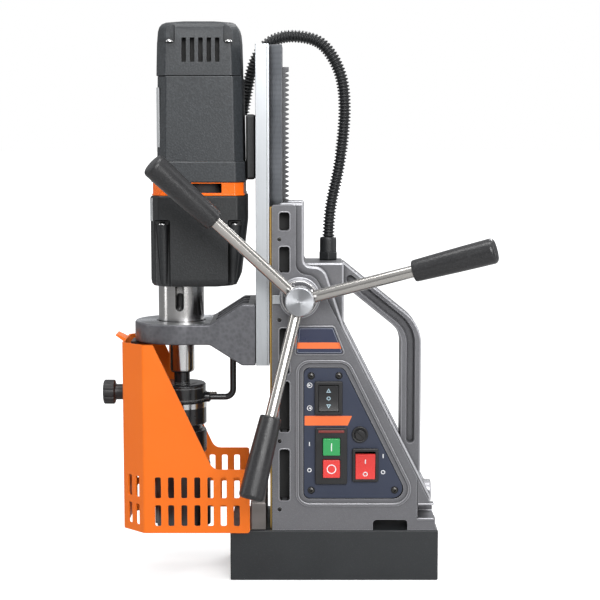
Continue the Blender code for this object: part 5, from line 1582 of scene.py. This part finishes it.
def make_conduit():
    path = evenly(smooth_path(CONDUIT_PATH, 24), RIB_PITCH / len(RIB_WAVE))
    turns = [2 * math.pi * n / HOSE_SIDES for n in range(HOSE_SIDES)]
    rows = []
    across = Vector((0, 1, 0))
    for k, place in enumerate(path):
        along = (path[min(k + 1, len(path) - 1)] - path[max(k - 1, 0)]).normalized()
        across = (across - along * across.dot(along)).normalized()
        third = along.cross(across)
        reach = VALLEY_RADIUS + RIB_HEIGHT * RIB_WAVE[k % len(RIB_WAVE)]
        rows.append([(place + (across * math.cos(t) + third * math.sin(t)) * reach) * MM for t in turns])
    hose = skin("conduit_fine", rows)
    hose.data.materials.append(LOOK["hose"])
    hose.data.shade_smooth()
    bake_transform(hose, "frame", "slide", start=(-0.0055, 0.010, 0.336), end=(-0.1025, 0.0315, 0.3489))
    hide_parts("conduit")
    profile = fillets([(0, 334.6), (8.0, 334.6), (8.3, 331.0), (8.3, 319.6), (0, 319.6)], [0, 1.6, 0, 0.4, 0])
    gland = lathe("gland_cap", profile, (GLAND_X, GLAND_Y, 0), sides=64)
    piece(gland, "hose", "frame", ["conduit_gland"])
    nut = rod("gland_nut", (GLAND_X, GLAND_Y, SHOULDER_TOP + 0.3), (GLAND_X, GLAND_Y, 319.8), 10.0, 6)
    piece(soften(nut, 0.9), "hose", "frame", slot_name="plastic")


# ---------------------------------------------------------------- studio

def make_world(scene):
    """White to the camera; for the lighting a soft tent that darkens towards the horizon."""
    scene.world = bpy.data.worlds.new("studio")
    sky = Graph(scene.world)
    sky.nodes.clear()
    height = sky.add("SeparateXYZ", "Z", {"Vector": sky.add("TexCoord", "Generated")})
    glow = sky.ramp(height, -0.3, 0.7, 0.10, 0.60, interpolation_type="SMOOTHSTEP")
    tent = sky.add("Background", 0, {"Color": (0.97, 0.98, 1.0, 1.0), "Strength": glow})
    white = sky.add("Background", 0, {"Color": (1.0, 1.0, 1.0, 1.0)})
    seen = sky.add("LightPath", "Is Camera Ray")
    sky.add("OutputWorld", None, {"Surface": sky.add("MixShader", 0, {0: seen, 1: tent, 2: white})})


def make_floor():
    """A plain pale floor that the camera sees evenly lit, while the metal mirrors a duller one."""
    look = bpy.data.materials.new("studio_floor")
    floor = Graph(look)
    shader = floor.nodes["Principled BSDF"]
    reach = floor.add("VectorMath", "Value", {0: floor.add("TexCoord", "Object")}, operation="LENGTH")
    floor.set(shader, {"Base Color": (0.70, 0.70, 0.70, 1.0), "Roughness": 0.9, "Specular IOR Level": 0.1,
                       "Emission Color": (1.0, 1.0, 1.0, 1.0),
                       "Emission Strength": floor.ramp(reach, 0.6, 4.0, 0.45, 1.0)})
    dull = floor.add("BsdfDiffuse", "BSDF", {"Color": (0.42, 0.42, 0.42, 1.0)})
    seen = floor.add("LightPath", "Is Camera Ray")
    choice = floor.add("MixShader", 0, {0: seen, 1: dull, 2: shader.outputs["BSDF"]})
    floor.set(floor.nodes["Material Output"], {"Surface": choice})
    shape = bmesh.new()
    bmesh.ops.create_grid(shape, x_segments=1, y_segments=1, size=40.0)
    ground = from_bmesh("studio_floor", shape)
    ground.data.materials.append(look)


CAMERA_PLACE = (-0.0336, -1.5, 0.435)       # metres, like the lamps'
CAMERA_DIP = 6.2              # degrees below level
LAMP_AIM = Vector((-0.05, 0.0, 0.27))
LAMPS = (                     # name, place, width, height, power
    ("key", (0.2, -2.1, 1.3), 1.0, 1.0, 34.0),
    ("fill", (1.1, -2.3, 0.9), 0.7, 1.4, 18.0),
    ("left_strip", (-1.5, -0.2, 0.7), 0.3, 1.3, 3.0),
    ("right_strip", (1.5, 0.0, 0.7), 0.3, 1.3, 5.0),
    ("rim", (0.7, 1.4, 1.5), 0.9, 0.5, 18.0),
    ("top", (-0.1, -0.2, 1.7), 1.2, 0.5, 12.0),
)


def make_studio():
    scene = bpy.context.scene
    scene.view_settings.view_transform = "Standard"
    make_world(scene)
    make_floor()
    for name, place, width, height, power in LAMPS:
        light = bpy.data.lights.new(name, "AREA")
        light.shape = "RECTANGLE"
        light.size = width
        light.size_y = height
        light.energy = power
        lamp = add_object(name, light)
        lamp.location = place
        lamp.rotation_euler = (LAMP_AIM - Vector(place)).to_track_quat("-Z", "Y").to_euler()
    lens = bpy.data.cameras.new("camera")
    lens.lens = 90.7
    lens.sensor_width = 36.0
    lens.clip_end = 100.0
    scene.camera = add_object("camera", lens)
    scene.camera.location = CAMERA_PLACE
    scene.camera.rotation_euler = (math.radians(90.0 - CAMERA_DIP), 0.0, 0.0)


for row in CARRIED:
    carry(*row)
for make in (make_frame, make_stop, make_bushes, make_gib_pad, make_gib_screws, make_panel, make_nameplate,
             make_switches, make_fuse, make_feed, make_slide, make_spindle_arm, make_gearbox, make_baffle,
             make_motor, make_cap, make_neck, make_coolant, make_spindle, make_release_collar, make_cutter,
             make_guard, make_knob, make_conduit, make_studio):
    make()

bpy.context.view_layer.update()
